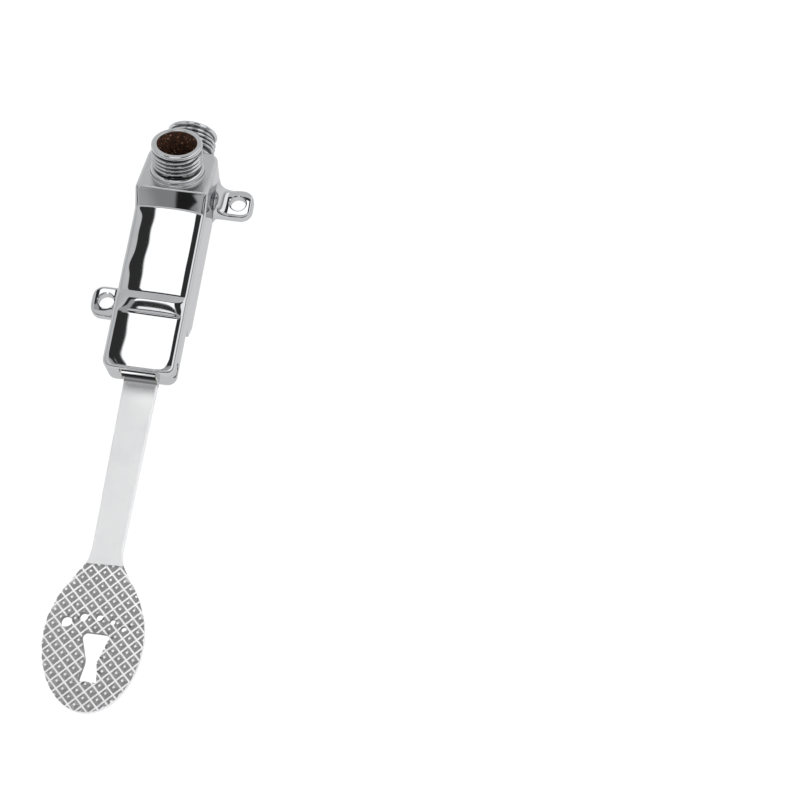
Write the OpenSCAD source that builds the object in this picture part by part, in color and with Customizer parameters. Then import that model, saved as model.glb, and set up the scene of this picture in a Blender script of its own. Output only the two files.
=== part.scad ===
// Foot pedal tap valve: a cast floor valve with two threaded spigots, worked by a hinged pedal.
// Frame: base plane at z = 0, +Z up, the spigots towards +Y and the pedal towards -Y.
// The origin is the centre of the two floor lug holes. Lengths are in millimetres.

/* [Valve body] */
// Width across the base
base_w = 27.4; // [25:0.1:30]
// Width across the front panel
front_w = 29.6; // [27:0.1:33]
// Height of the front panel above the base
body_h = 28.3; // [26:0.1:32]
// From the lug centre to the pedal-end face
front_reach = 38; // [35:0.5:44]
// From the lug centre to the inlet face
rear_reach = 38.7; // [37:0.1:44]
// Chamfer between the base and the pedal-end face
end_chamfer = 6.2; // [3:0.1:6.5]
// Rounding of the long front edges
front_edge_r = 2.4; // [1:0.1:4]
// Rounding of the upright corners
corner_r = 4; // [1:0.1:6]
// Rounding of the casting's lower and inner edges
cast_r = 0.8; // [0.3:0.1:1.2]
// Width of the rib between the two front panels
rib_w = 9.6; // [6:0.1:14]
// Height of the rib above the panels
rib_h = 1.1; // [0.4:0.1:2]
// From the pedal-end face back to the middle of the rib
rib_set = 3.4; // [1:0.1:8]

/* [Port block] */
// From the lug centre to the foot of the riser
panel_end = 8.6; // [5:0.1:11]
// Run of the riser along the body
riser_run = 5.7; // [4:0.1:8]
// Height that the riser climbs above the panel
riser_rise = 4.9; // [3:0.1:7]
// Fall of the outlet face towards the inlet, in degrees
face_slope = 25.3; // [20:0.1:28]
// Rounding of the outlet face's long edges
face_edge_r = 1.8; // [0.6:0.1:3]
// Rounding of the ridge between riser and outlet face
ridge_r = 1.2; // [0.4:0.1:2]
// From the ridge to the outlet's axis, along the face
outlet_set = 12.9; // [12:0.1:15]

/* [Spigots] */
// Major diameter of the pipe thread
thread_d = 20.955; // [20:0.005:21.5]
// Diameter of the collar behind the thread
collar_d = 22.4; // [21.8:0.1:23]
// Height of the collar
collar_h = 2.6; // [1:0.1:4]
// From the block's face to the rim
spigot_len = 13.9; // [12:0.1:18]
// Bore of the spigots
port_bore = 16.3; // [15.8:0.1:17]
// Chamfer at the rim
rim_chamfer = 0.8; // [0.3:0.1:1.4]
// Depth of the outlet's bore below the block's face
outlet_sink = 2.4; // [1:0.1:2.6]
// Passage from the outlet to the chamber
passage_d = 12; // [9:0.1:12]

/* [Floor lugs] */
// Half the distance between the lug holes, across the body
lug_x = 23.2; // [22:0.1:27]
// Half the distance between the lug holes, along the body
lug_y = 25.9; // [20:0.1:28]
// Hole in a lug
lug_hole_d = 6.6; // [5:0.1:7]
// From a hole's axis to the end of its lug
lug_end = 6.3; // [5.5:0.1:8]
// Width of a lug
lug_w = 13.4; // [11:0.1:15]
// Thickness of a lug
lug_t = 4.2; // [3:0.1:5]
// Rounding of a lug's outer corners
lug_corner_r = 4.6; // [2:0.1:5.4]
// Hollow rounding in plan between a lug and the body
lug_root_r = 3.6; // [1:0.1:4.5]
// Hollow fillet from a lug up to the body's side
lug_fillet_r = 5; // [2:0.1:5.2]
// Chamfer round a lug hole
lug_hole_chamfer = 0.6; // [0.2:0.1:1]

/* [Hood and pivot] */
// Length of the hood beyond the pedal-end face
hood_len = 25.2; // [24:0.1:32]
// Depth of the hood's cheeks below the front panel
hood_drop = 14.1; // [12:0.1:15]
// Thickness of the hood's roof
hood_roof = 2; // [1.4:0.1:3]
// Rounding under the ends of the cheeks
cheek_r = 1.5; // [0.5:0.1:6]
// Width of the slot between the cheeks
slot_w = 15; // [13:0.1:17]
// From the end of the hood back to the pivot axis
pin_inset = 4.5; // [4:0.1:6]
// Pivot pin diameter
pin_d = 6; // [4:0.1:6.4]
// Depth of the pin's ends below the cheeks
pin_sink = 0.5; // [0.2:0.1:1.5]
// Chamfer of the pin's ends
pin_chamfer = 0.5; // [0.2:0.1:0.8]
// Wall of the pivot bushes
bush_wall = 0.95; // [0.6:0.05:1.2]
// Gap between the two pivot bushes
bush_gap = 1.6; // [0.6:0.1:4]
// Thickness of the thrust washers
thrust_t = 0.6; // [0.3:0.1:1]

/* [Valve train] */
// Height of the stem's axis above the base
stem_z = 11.6; // [11.3:0.1:12.4]
// Stem diameter
stem_d = 5; // [4:0.1:5.4]
// Diameter of the stem's threaded tail
tail_d = 4; // [3:0.1:4]
// Diameter of the collar that the seat washer is clamped to
stem_collar_d = 7; // [5.6:0.1:7.6]
// Thickness of that collar
stem_collar_t = 1.5; // [1:0.1:2.5]
// Bore of the chamber between gland and seat
chamber_d = 14.8; // [12:0.1:15]
// Wall between the pedal-end face and the chamber
gland_wall = 16; // [13:0.1:20]
// From the inlet face in to the shoulder under the seat
seat_depth = 7.7; // [6.7:0.1:8.7]
// Thickness of the seat gasket
gasket_t = 0.8; // [0.5:0.1:1.2]
// Thickness of the seat insert, without its lip
insert_t = 4; // [2.5:0.1:4.6]
// Bore of the seat
seat_bore = 10.4; // [9:0.1:11]
// Height of the seat's lip
lip_h = 0.6; // [0.3:0.1:0.9]
// Width of the seat's lip
lip_w = 0.8; // [0.5:0.1:1]
// Diameter of the rubber seat washer
washer_d = 13.4; // [12.8:0.1:14]
// Thickness of the rubber seat washer
washer_t = 2.5; // [1.5:0.1:3]
// Diameter of the disc holder
holder_d = 13.8; // [13:0.1:14.4]
// Thickness of the disc holder
holder_t = 1.5; // [1:0.1:2]
// Thickness of the lock washer
lock_t = 0.6; // [0.4:0.1:0.8]
// Width across the flats of the disc nut
disc_nut_af = 7; // [6:0.1:7.4]
// Thickness of the disc nut
disc_nut_t = 2.4; // [1.6:0.1:2.6]
// Length of the stem's tail beyond the disc nut
tail_end = 0.6; // [0.2:0.1:1]
// Thickness of the spring retainer
retainer_t = 2.2; // [1.4:0.1:2.6]
// Hole in the spring retainer
retainer_bore = 8.6; // [7:0.1:9]
// From the retainer to the inlet's rim
retainer_set = 1.4; // [1:0.1:2]
// Width of the retainer's two spanner slots
spanner_slot = 2; // [1:0.1:3]

/* [Return spring] */
// Wire diameter
wire_d = 1; // [0.6:0.05:1.1]
// Mean diameter of the coils
coil_d = 10.9; // [10:0.1:11.4]
// Number of coils
coils = 4.5; // [3:0.5:4.5]

/* [Gland] */
// Diameter of the gland's thread
gland_d = 9.2; // [8.6:0.1:9.6]
// Depth of the gland's recess
gland_depth = 9; // [7:0.1:11]
// Thickness of one packing ring
packing_t = 1.6; // [1:0.1:2]
// Number of packing rings
packing_n = 2; // [1:1:2]
// Thickness of the gland washer
gland_washer_t = 0.8; // [0.5:0.1:1.2]
// Width across the flats of the gland nut
gland_af = 10; // [9.6:0.1:11]
// Height of the gland nut's head
gland_head = 4; // [3:0.1:4.5]
// Thickness of the stem wiper
wiper_t = 1.6; // [1:0.1:2]
// Radial width of the stem wiper
wiper_w = 1; // [0.6:0.1:1.2]
// Diameter of the push cap
cap_d = 7.2; // [6.6:0.1:8]
// Length of the push cap
cap_len = 4; // [3:0.1:4.4]
// Thickness of the push cap's end
cap_wall = 1; // [0.6:0.1:1.6]

/* [Pedal lever] */
// Radius of the hinge barrel
barrel_r = 5.2; // [5:0.1:5.4]
// From the barrel's front back to the face under it
barrel_step = 0.25; // [0.1:0.05:0.5]
// From the pivot axis down to the top of the bar
bar_drop = 4.8; // [4.2:0.1:5.4]
// Thickness of the bar
bar_t = 4.6; // [4:0.1:5]
// Rounding of the bar's long edges
bar_edge_r = 0.5; // [0.2:0.1:1.5]
// From the pivot axis to the face that bears on the push cap
nose_reach = 7.4; // [6.8:0.1:8]
// Radius of the nose that bears on the push cap
nose_r = 3; // [2:0.1:3.4]
// From the pivot axis to the neck of the sole
lever_len = 75.3; // [60:0.1:100]
// Width of the bar at the neck
neck_w = 11.8; // [10.4:0.1:13]
// From the hinge's middle to the middle of the neck, sideways
neck_set = 0.3; // [0:0.1:0.6]

/* [Sole] */
// Turn of the sole about its neck, in degrees
sole_yaw = 2.5; // [0:0.1:5]
// Width of the sole
sole_w = 38.6; // [34:0.1:44]
// From the neck to the widest place
sole_neck = 35; // [30:0.1:42]
// Reach of the curve from the widest place towards the neck
toe_len = 36; // [34:0.1:44]
// From the widest place to the heel's end
heel_len = 28.3; // [24:0.1:34]
// Thickness of the sole with its studs
sole_t = 4; // [3:0.1:5]
// Softness of the fillet between the bar and the sole
neck_soft = 1.5; // [0.6:0.1:2.5]
// From the neck to the first studs
smooth_len = 5.9; // [2:0.1:8]
// Distance between studs
stud_pitch = 3.86; // [3.6:0.02:5]
// Turn of the rows of studs about the neck, in degrees
stud_yaw = 1.4; // [0:0.1:5]
// Height of a stud
stud_h = 1.2; // [0.6:0.1:1.6]
// Width of the flat on a stud
stud_flat = 0.85; // [0.5:0.05:1.4]
// Width of the flat between studs
valley_w = 0.65; // [0.3:0.05:0.9]
// Diameter of the largest toe hole
big_toe_d = 4.5; // [3:0.1:5]
// Diameter of the smallest toe hole
little_toe_d = 2.4; // [2:0.1:3]
// How fast the toe holes shrink from the big toe on
toe_taper = 2.2; // [1:0.1:3]
// Metal between two toe holes
toe_gap = 2.8; // [2:0.1:3.2]
// Radius of the arc that the toe holes lie on
toe_arc_r = 20.4; // [18:0.1:24]
// Half the width of the foot's hole at the ball
ball_half = 6; // [4:0.1:6.6]
// Half the width of the foot's hole at the waist
waist_half = 2.3; // [1.6:0.1:3]
// Half the width of the foot's hole at the heel
heel_half = 3.6; // [2.4:0.1:4.2]
// Length of the foot's hole
foot_len = 19.1; // [16:0.1:20.4]
// From the ball end of the foot's hole to its waist
foot_waist = 11; // [8:0.1:12.5]
// Turn of the foot's hole on the sole, in degrees
foot_turn = 2; // [0:0.1:4]
// Rounding of the foot's hole at the ball
ball_r = 1.9; // [0.6:0.1:2.2]
// Rounding of the foot's hole at the waist
waist_r = 6; // [2:0.1:8]
// Rounding of the foot's hole at the heel
heel_r = 0.8; // [0.4:0.1:2]

/* [Clearances] */
// Radial clearance of pieces that turn or slide
run_clear = 0.05; // [0.03:0.01:0.08]
// Radial clearance of pieces that stay put
set_clear = 0.03; // [0.02:0.01:0.05]
// Gap at each side of a thrust washer
side_clear = 0.05; // [0.03:0.01:0.1]
// Gap between the hinge barrel and the hood's roof
roof_clear = 0.3; // [0.3:0.05:0.6]
// Gap between the lever's nose and the push cap at rest
nose_gap = 0.1; // [0.05:0.01:0.2]
// Gap between the spring and its seats
spring_gap = 0.05; // [0.02:0.01:0.1]

/* [Hidden] */
$fn = 72;
chrome = [0.84, 0.85, 0.87];
brass = [0.78, 0.62, 0.33];
steel = [0.66, 0.67, 0.69];
rubber = [0.12, 0.12, 0.12];
fibre = [0.45, 0.3, 0.2];
acetal = [0.9, 0.89, 0.85];
arc_steps = 6;
over = 1;
far = 200;
taper = (front_w - base_w) / body_h;
hood_end_y = -(front_reach + hood_len);
hood_z = body_h - hood_drop;
ridge_y = panel_end + riser_run;
ridge_z = body_h + riser_rise;
rear_z = ridge_z - (rear_reach - ridge_y) * tan(face_slope);
outlet_y = ridge_y + outlet_set * cos(face_slope);
outlet_z = ridge_z - outlet_set * sin(face_slope);
passage_len = (outlet_z - stem_z) / cos(face_slope);
rim_y = rear_reach + spigot_len;
pin_y = hood_end_y + pin_inset;
pin_z = body_h - hood_roof - roof_clear - barrel_r;
pin_half = half_w(pin_z) - pin_sink;
lever_w = slot_w - 2 * (thrust_t + 2 * side_clear);
bush_r = pin_d / 2 + run_clear + bush_wall;
bar_top = pin_z - bar_drop;
bar_low = bar_top - bar_t;
neck_y = pin_y - lever_len;
nose_y = pin_y + nose_reach - nose_r;
cap_end_y = pin_y + nose_reach + nose_gap;
stem_start_y = cap_end_y + cap_wall;
chamber_y = gland_wall - front_reach;
gland_y = gland_depth - front_reach;
packing_y = gland_y - packing_n * packing_t;
gland_washer_y = packing_y - gland_washer_t;
gland_head_y = -front_reach - gland_head;
seat_shoulder = rear_reach - seat_depth;
insert_y = seat_shoulder + gasket_t;
seat_y = insert_y + insert_t + lip_h;
holder_y = seat_y + washer_t;
lock_y = holder_y + holder_t;
disc_nut_y = lock_y + lock_t;
stem_end_y = disc_nut_y + disc_nut_t + tail_end;
retainer_y = rim_y - retainer_set - retainer_t;
sole_top = bar_top;
sole_low = sole_top - sole_t;

// Half the body's width at a height
function half_w(z) = (base_w + taper * z) / 2;

// Points of an arc that rounds the corner b of the line a, b, c
function round_corner(a, b, c, r) =
    let (u = (a - b) / norm(a - b))
    let (v = (c - b) / norm(c - b))
    let (half = acos(u * v) / 2)
    let (m = b + (u + v) / norm(u + v) * r / sin(half))
    let (from = b + u * r / tan(half) - m)
    let (to = b + v * r / tan(half) - m)
    let (start = atan2(from.y, from.x))
    let (turn = (atan2(to.y, to.x) - start + 540) % 360 - 180)
    [for (i = [0:arc_steps]) m + r * [cos(start + turn * i / arc_steps), sin(start + turn * i / arc_steps)]];

// An outline whose corners [y, z, radius] are rounded
function rounded(corners) =
    let (n = len(corners))
    let (p = [for (c = corners) [c[0], c[1]]])
    [for (i = [0:n - 1])
        each corners[i][2] == 0 ? [p[i]]
            : round_corner(p[(i + n - 1) % n], p[i], p[(i + 1) % n], corners[i][2])];

// A profile in Y and Z, drawn out along X
module along_x(width) {
    rotate([90, 0, 90])
        linear_extrude(width, center = true)
            children();
}

// A profile in X and Z, drawn out along Y
module along_y(from, to) {
    translate([0, to, 0])
        rotate([90, 0, 0])
            linear_extrude(to - from)
                children();
}

// A round bar on the stem's axis
module stem_bar(from, to, r) {
    translate([0, from, stem_z])
        rotate([-90, 0, 0])
            cylinder(h = to - from, r = r);
}

// A ring on the stem's axis
module stem_ring(from, to, r_in, r_out) {
    difference() {
        stem_bar(from, to, r_out);
        stem_bar(from - over, to + over, r_in);
    }
}

// A hexagon bar on the stem's axis
module stem_hex(from, to, flats) {
    translate([0, from, stem_z])
        rotate([-90, 0, 0])
            cylinder(h = to - from, d = flats / cos(30), $fn = 6);
}

// A round bar on the pivot's axis
module pivot_bar(from, to, r) {
    translate([from, pin_y, pin_z])
        rotate([0, 90, 0])
            cylinder(h = to - from, r = r);
}

// Body with straight drafted sides and the hood, up to the front panel
module body_bar() {
    intersection() {
        along_x(far)
            polygon(rounded([[rear_reach, 0, cast_r], [rear_reach, body_h, 0], [hood_end_y, body_h, cast_r],
                [hood_end_y, hood_z, cheek_r], [-front_reach, hood_z, cast_r],
                [-front_reach, end_chamfer, cast_r], [end_chamfer - front_reach, 0, cast_r]]));
        along_y(-far, ridge_y)
            polygon(rounded([[-base_w / 2, 0, cast_r], [base_w / 2, 0, cast_r],
                [front_w / 2, body_h, front_edge_r], [-front_w / 2, body_h, front_edge_r]]));
        body_plan();
    }
}

// Plan outline of the whole casting, with its upright corners rounded
module body_plan() {
    plan_w = 2 * half_w(ridge_z);
    linear_extrude(far, center = true)
        polygon(rounded([[-plan_w / 2, hood_end_y, corner_r], [plan_w / 2, hood_end_y, corner_r],
            [plan_w / 2, rear_reach, corner_r], [-plan_w / 2, rear_reach, corner_r]]));
}

// Port block: riser, ridge and the face that falls towards the inlet
module port_block() {
    top_half = half_w(ridge_z);
    intersection() {
        along_x(far)
            polygon(rounded([[rear_reach, 0, cast_r], [rear_reach, rear_z, ridge_r],
                [ridge_y, ridge_z, ridge_r], [panel_end, body_h, 0], [panel_end, 0, 0]]));
        along_y(-far, far)
            polygon(rounded([[-base_w / 2, 0, cast_r], [base_w / 2, 0, cast_r],
                [top_half, ridge_z, 0], [-top_half, ridge_z, 0]]));
        translate([0, ridge_y, ridge_z])
            rotate([-face_slope, 0, 0])
                along_y(-far, far)
                    polygon(rounded([[-top_half, -far, 0], [top_half, -far, 0],
                        [top_half, 0, face_edge_r], [-top_half, 0, face_edge_r]]));
        body_plan();
    }
}

// Low rounded rib across the front
module rib() {
    rib_r = (pow(rib_w / 2, 2) + pow(rib_h, 2)) / (2 * rib_h);
    rib_half = half_w(hood_z);
    rib_low = body_h - hood_drop / 2;
    intersection() {
        translate([0, rib_set - front_reach, body_h + rib_h - rib_r])
            rotate([0, 90, 0])
                cylinder(h = far, r = rib_r, center = true);
        along_y(-far, 0)
            polygon(rounded([[-rib_half, rib_low, 0], [rib_half, rib_low, 0],
                [front_w / 2, body_h + rib_h, front_edge_r], [-front_w / 2, body_h + rib_h, front_edge_r]]));
    }
}

// One floor lug with the hollow fillet that runs up the body's side
module lug() {
    side_x = half_w(0);
    root_x = half_w(lug_t) + lug_fillet_r;
    root_w = lug_w + 2 * lug_root_r + over;
    translate([0, lug_y, 0]) {
        linear_extrude(lug_t)
            polygon(rounded([[0, -root_w / 2, 0], [side_x, -root_w / 2, 0], [side_x, -lug_w / 2, lug_root_r],
                [lug_x + lug_end, -lug_w / 2, lug_corner_r], [lug_x + lug_end, lug_w / 2, lug_corner_r],
                [side_x, lug_w / 2, lug_root_r], [side_x, root_w / 2, 0], [0, root_w / 2, 0]]));
        along_y(-lug_w / 2, lug_w / 2)
            difference() {
                square([root_x, lug_t + lug_fillet_r]);
                translate([root_x, lug_t + lug_fillet_r])
                    circle(lug_fillet_r);
            }
    }
}

// Through hole of a lug, opened a little at the top
module lug_hole() {
    mouth_h = lug_hole_chamfer + over;
    translate([lug_x, lug_y, -over])
        cylinder(h = lug_t + 2 * over, d = lug_hole_d);
    translate([lug_x, lug_y, lug_t - lug_hole_chamfer])
        cylinder(h = mouth_h, d1 = lug_hole_d, d2 = lug_hole_d + 2 * mouth_h);
}

// Threaded spigot, as a plain cylinder at the thread's major diameter
module spigot(root) {
    rotate_extrude()
        polygon([[0, -root], [collar_d / 2, -root], [collar_d / 2, collar_h], [thread_d / 2, collar_h],
            [thread_d / 2, spigot_len - rim_chamfer], [thread_d / 2 - rim_chamfer, spigot_len],
            [0, spigot_len]]);
}

module at_outlet() {
    translate([0, outlet_y, outlet_z])
        rotate([-face_slope, 0, 0])
            children();
}

module at_inlet() {
    translate([0, rear_reach, stem_z])
        rotate([-90, 0, 0])
            children();
}

module valve_body() {
    spigot_root = 4;
    color(chrome)
        difference() {
            union() {
                body_bar();
                port_block();
                rib();
                for (side = [0, 180])
                    rotate([0, 0, side])
                        lug();
                at_outlet()
                    spigot(spigot_root);
                at_inlet()
                    spigot(spigot_root);
            }
            for (side = [0, 180])
                rotate([0, 0, side])
                    lug_hole();
            translate([-slot_w / 2, hood_end_y - over, -over])
                cube([slot_w, hood_len + over, body_h - hood_roof + over]);
            pivot_bar(-far, far, pin_d / 2 + set_clear);
            stem_bar(-front_reach - over, gland_y, gland_d / 2);
            stem_bar(-front_reach, chamber_y + over, stem_d / 2 + run_clear);
            stem_bar(chamber_y, seat_shoulder + over, chamber_d / 2);
            stem_bar(seat_shoulder, rim_y + over, port_bore / 2);
            at_outlet() {
                translate([0, 0, -outlet_sink])
                    cylinder(h = outlet_sink + spigot_len + over, d = port_bore);
                translate([0, 0, -passage_len])
                    cylinder(h = passage_len, d = passage_d);
            }
        }
}

module seat_gasket() {
    color(fibre)
        stem_ring(seat_shoulder, insert_y, seat_bore / 2 + lip_w, port_bore / 2 - set_clear);
}

module seat_insert() {
    color(brass) {
        stem_ring(insert_y, insert_y + insert_t, seat_bore / 2, port_bore / 2 - set_clear);
        stem_ring(insert_y + insert_t - over, seat_y, seat_bore / 2, seat_bore / 2 + lip_w);
    }
}

module gland_packing() {
    color(rubber)
        for (i = [0:packing_n - 1])
            stem_ring(packing_y + i * packing_t, packing_y + (i + 1) * packing_t - set_clear,
                stem_d / 2 + run_clear, gland_d / 2 - set_clear);
}

module gland_washer() {
    color(brass)
        stem_ring(gland_washer_y, packing_y, stem_d / 2 + run_clear, gland_d / 2 - set_clear);
}

module gland_nut() {
    color(brass)
        difference() {
            union() {
                stem_bar(-front_reach - over, gland_washer_y, gland_d / 2 - set_clear);
                stem_hex(gland_head_y, -front_reach, gland_af);
            }
            stem_bar(gland_head_y - over, gland_washer_y + over, stem_d / 2 + run_clear);
            stem_bar(gland_head_y - over, gland_head_y + wiper_t, stem_d / 2 + wiper_w + set_clear);
        }
}

module stem_wiper() {
    color(rubber)
        stem_ring(gland_head_y + set_clear, gland_head_y + wiper_t,
            stem_d / 2 + run_clear, stem_d / 2 + wiper_w);
}

module valve_stem() {
    color(steel) {
        stem_bar(stem_start_y, seat_y - stem_collar_t + over, stem_d / 2);
        stem_bar(seat_y - stem_collar_t, seat_y, stem_collar_d / 2);
        stem_bar(seat_y - over, stem_end_y, tail_d / 2);
    }
}

module push_cap() {
    color(acetal)
        difference() {
            stem_bar(cap_end_y, cap_end_y + cap_len, cap_d / 2);
            stem_bar(stem_start_y, cap_end_y + cap_len + over, stem_d / 2 + set_clear);
        }
}

module seat_washer() {
    color(rubber)
        stem_ring(seat_y, holder_y, tail_d / 2 + set_clear, washer_d / 2);
}

module disc_holder() {
    color(brass)
        stem_ring(holder_y, lock_y, tail_d / 2 + set_clear, holder_d / 2);
}

module lock_washer() {
    color(steel)
        stem_ring(lock_y, disc_nut_y, tail_d / 2 + set_clear, disc_nut_af / 2);
}

module disc_nut() {
    color(brass)
        difference() {
            stem_hex(disc_nut_y, disc_nut_y + disc_nut_t, disc_nut_af);
            stem_bar(disc_nut_y - over, stem_end_y, tail_d / 2 + set_clear);
        }
}

// Return spring: one unbroken round wire, swept along a helix round the stem's axis
spring_rings = 8;
spring_sides = 6;
spring_start = lock_y + spring_gap + wire_d / 2;
spring_rise = retainer_y - lock_y - 2 * spring_gap - wire_d;
spring_steps = round(coils * spring_rings);

function coil_point(i, r, lift) =
    let (a = 360 * i / spring_rings)
    [r * cos(a), spring_start + spring_rise * i / spring_steps + lift, stem_z + r * sin(a)];

coil_middle = [for (i = [0:spring_steps]) coil_point(i, coil_d / 2, 0)];
coil_gap = min([for (i = [0:spring_steps], j = [0:spring_steps])
    if (j - i >= spring_rings / 2) norm(coil_middle[j] - coil_middle[i])]) - wire_d;
echo(least_gap_between_coils = coil_gap);

module return_spring() {
    skin = [for (i = [0:spring_steps], k = [0:spring_sides - 1])
        let (a = 360 * k / spring_sides)
        coil_point(i, coil_d / 2 + wire_d / 2 * cos(a), wire_d / 2 * sin(a))];
    side_faces = [for (i = [0:spring_steps - 1], k = [0:spring_sides - 1])
        let (n = (k + 1) % spring_sides)
        let (a = i * spring_sides)
        let (b = a + spring_sides)
        each [[a + k, b + k, a + n], [a + n, b + k, b + n]]];
    first_cap = [for (k = [1:spring_sides - 2]) [0, k, k + 1]];
    last = spring_steps * spring_sides;
    last_cap = [for (k = [1:spring_sides - 2]) [last, last + k + 1, last + k]];
    color(steel)
        polyhedron(skin, concat(side_faces, first_cap, last_cap));
}

module spring_retainer() {
    color(brass)
        difference() {
            stem_ring(retainer_y, retainer_y + retainer_t, retainer_bore / 2, port_bore / 2 - set_clear);
            translate([-spanner_slot / 2, retainer_y + retainer_t / 2, stem_z - port_bore])
                cube([spanner_slot, retainer_t, 2 * port_bore]);
        }
}

module pivot_pin() {
    pin_r = pin_d / 2;
    color(steel) {
        pivot_bar(pin_chamfer - pin_half, pin_half - pin_chamfer, pin_r);
        for (side = [0, 180])
            translate([0, pin_y, pin_z])
                rotate([0, 0, side])
                    translate([pin_half - pin_chamfer, 0, 0])
                        rotate([0, 90, 0])
                            cylinder(h = pin_chamfer, r1 = pin_r, r2 = pin_r - pin_chamfer);
    }
}

module thrust_washers() {
    color(acetal)
        for (x = [lever_w / 2 + side_clear, -slot_w / 2 + side_clear])
            difference() {
                pivot_bar(x, x + thrust_t, barrel_r - roof_clear);
                pivot_bar(x - over, x + thrust_t + over, pin_d / 2 + run_clear);
            }
}

module pivot_bushes() {
    color(acetal)
        for (x = [-lever_w / 2, bush_gap / 2])
            difference() {
                pivot_bar(x, x + (lever_w - bush_gap) / 2, bush_r - set_clear);
                pivot_bar(x - over, x + lever_w, pin_d / 2 + run_clear);
            }
}

// Half the sole's width at a distance from the widest place towards the neck
function toe_half(d) =
    let (curve = sole_w / 2 * (1 - pow(d / toe_len, 2)))
    neck_w / 2 + neck_soft * ln(1 + exp((curve - neck_w / 2) / neck_soft));

// Egg-shaped outline of the sole, from the neck at the origin towards -Y
function sole_outline() =
    let (steps = 14)
    let (toe = [for (i = [0:steps - 1]) let (d = sole_neck * (1 - i / steps)) [toe_half(d), d - sole_neck]])
    let (heel = [for (i = [0:2 * steps]) let (a = 180 * i / (2 * steps))
        [toe_half(0) * cos(a), -sole_neck - heel_len * sin(a)]])
    concat(toe, heel, [for (i = [steps - 1:-1:0]) [-toe[i].x, toe[i].y]]);

// Straight grooves between the studs, running one way
module stud_grooves(turn) {
    crossing_x = 0.8;
    crossing_y = 1.45;
    half_n = ceil((heel_len + sole_w / 2) / sqrt(2) / stud_pitch);
    low = valley_w / 2;
    high = (stud_pitch - stud_flat) / 2;
    slope = (high - low) / stud_h;
    translate([crossing_x, crossing_y - sole_neck, 0])
        rotate([0, 0, turn])
            for (i = [-half_n:half_n])
                translate([i * stud_pitch, 0, sole_top - stud_h])
                    along_y(-far / 2, far / 2)
                        polygon([[-low, 0], [low, 0], [high + slope * over, stud_h + over],
                            [-high - slope * over, stud_h + over]]);
}

// Diameter of a toe hole, from the big toe at 0 to the little toe at 4
function toe_d(i) = little_toe_d + (big_toe_d - little_toe_d) * pow(1 - i / 4, toe_taper);

// Way along the toes' arc from the big toe to toe i
function toe_way(i) = i == 0 ? 0 : toe_way(i - 1) + (toe_d(i - 1) + toe_d(i)) / 2 + toe_gap;

// Footprint cut right through the sole: five toe holes and the foot itself
module footprint() {
    toe_arc_x = -1;
    toe_top = 8.6;
    big_toe_turn = 30.3;
    foot_x = 0.8;
    foot_top = 2.4;
    waist_y = -foot_waist;
    heel_y = -foot_len;
    for (i = [0:4]) {
        a = big_toe_turn - toe_way(i) / toe_arc_r * 180 / PI;
        translate([toe_arc_x - toe_arc_r * sin(a), toe_top - toe_arc_r * (1 - cos(a))])
            circle(d = toe_d(i));
    }
    translate([foot_x, foot_top])
        rotate(-foot_turn)
            polygon(rounded([[-ball_half, 0, ball_r], [ball_half, 0, ball_r], [waist_half, waist_y, waist_r],
                [heel_half, heel_y, heel_r], [-heel_half, heel_y, heel_r], [-waist_half, waist_y, waist_r]]));
}

module sole() {
    translate([neck_set, neck_y, 0])
        rotate([0, 0, sole_yaw])
            difference() {
                translate([0, 0, sole_low])
                    linear_extrude(sole_t)
                        polygon(sole_outline());
                intersection() {
                    translate([-far / 2, -far - smooth_len, sole_low])
                        cube([far, far, far]);
                    rotate([0, 0, stud_yaw - sole_yaw]) {
                        stud_grooves(45);
                        stud_grooves(-45);
                    }
                }
                translate([0, -sole_neck, sole_low - over])
                    linear_extrude(sole_t + 2 * over)
                        footprint();
            }
}

// Half of the tapered bar that keeps one long edge, to the side 1 or -1
module bar_half(side, front_y) {
    length = front_y - neck_y + smooth_len / 2;
    lean = atan(((lever_w - neck_w) / 2 - side * neck_set) / (front_y - neck_y));
    translate([side * lever_w / 2, front_y, 0])
        rotate([0, 0, -side * lean])
            along_y(-length, over)
                polygon(rounded([[0, bar_low, bar_edge_r], [0, bar_top, bar_edge_r],
                    [-side * 2 * lever_w, bar_top, 0], [-side * 2 * lever_w, bar_low, 0]]));
}

module pedal_lever() {
    front_y = pin_y - barrel_r + barrel_step;
    color(chrome)
        difference() {
            union() {
                along_x(lever_w) {
                    translate([pin_y, pin_z])
                        circle(barrel_r);
                    translate([front_y, bar_low])
                        square([nose_y - front_y, pin_z - bar_low]);
                    translate([nose_y - nose_r, stem_z])
                        square([nose_r, pin_z - stem_z]);
                    translate([nose_y, stem_z])
                        circle(nose_r);
                }
                intersection() {
                    bar_half(1, front_y);
                    bar_half(-1, front_y);
                }
                sole();
            }
            pivot_bar(-far, far, bush_r);
        }
}

valve_body();
seat_gasket();
seat_insert();
gland_packing();
gland_washer();
gland_nut();
stem_wiper();
valve_stem();
push_cap();
seat_washer();
disc_holder();
lock_washer();
disc_nut();
return_spring();
spring_retainer();
pivot_pin();
thrust_washers();
pivot_bushes();
pedal_lever();
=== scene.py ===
"""Looks of the foot pedal tap valve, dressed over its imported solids.

Meshes are worked in millimetres in the part's own frame: base plane at z = 0, the spigots towards +Y,
the pedal towards -Y. Each finished piece is scaled to metres with its place in its mesh.
"""

import logging
import math
from dataclasses import dataclass
from enum import Enum
from typing import Any, Callable, Mapping, Sequence

import bmesh
import bpy
from mathutils import Matrix, Vector, noise


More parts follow.
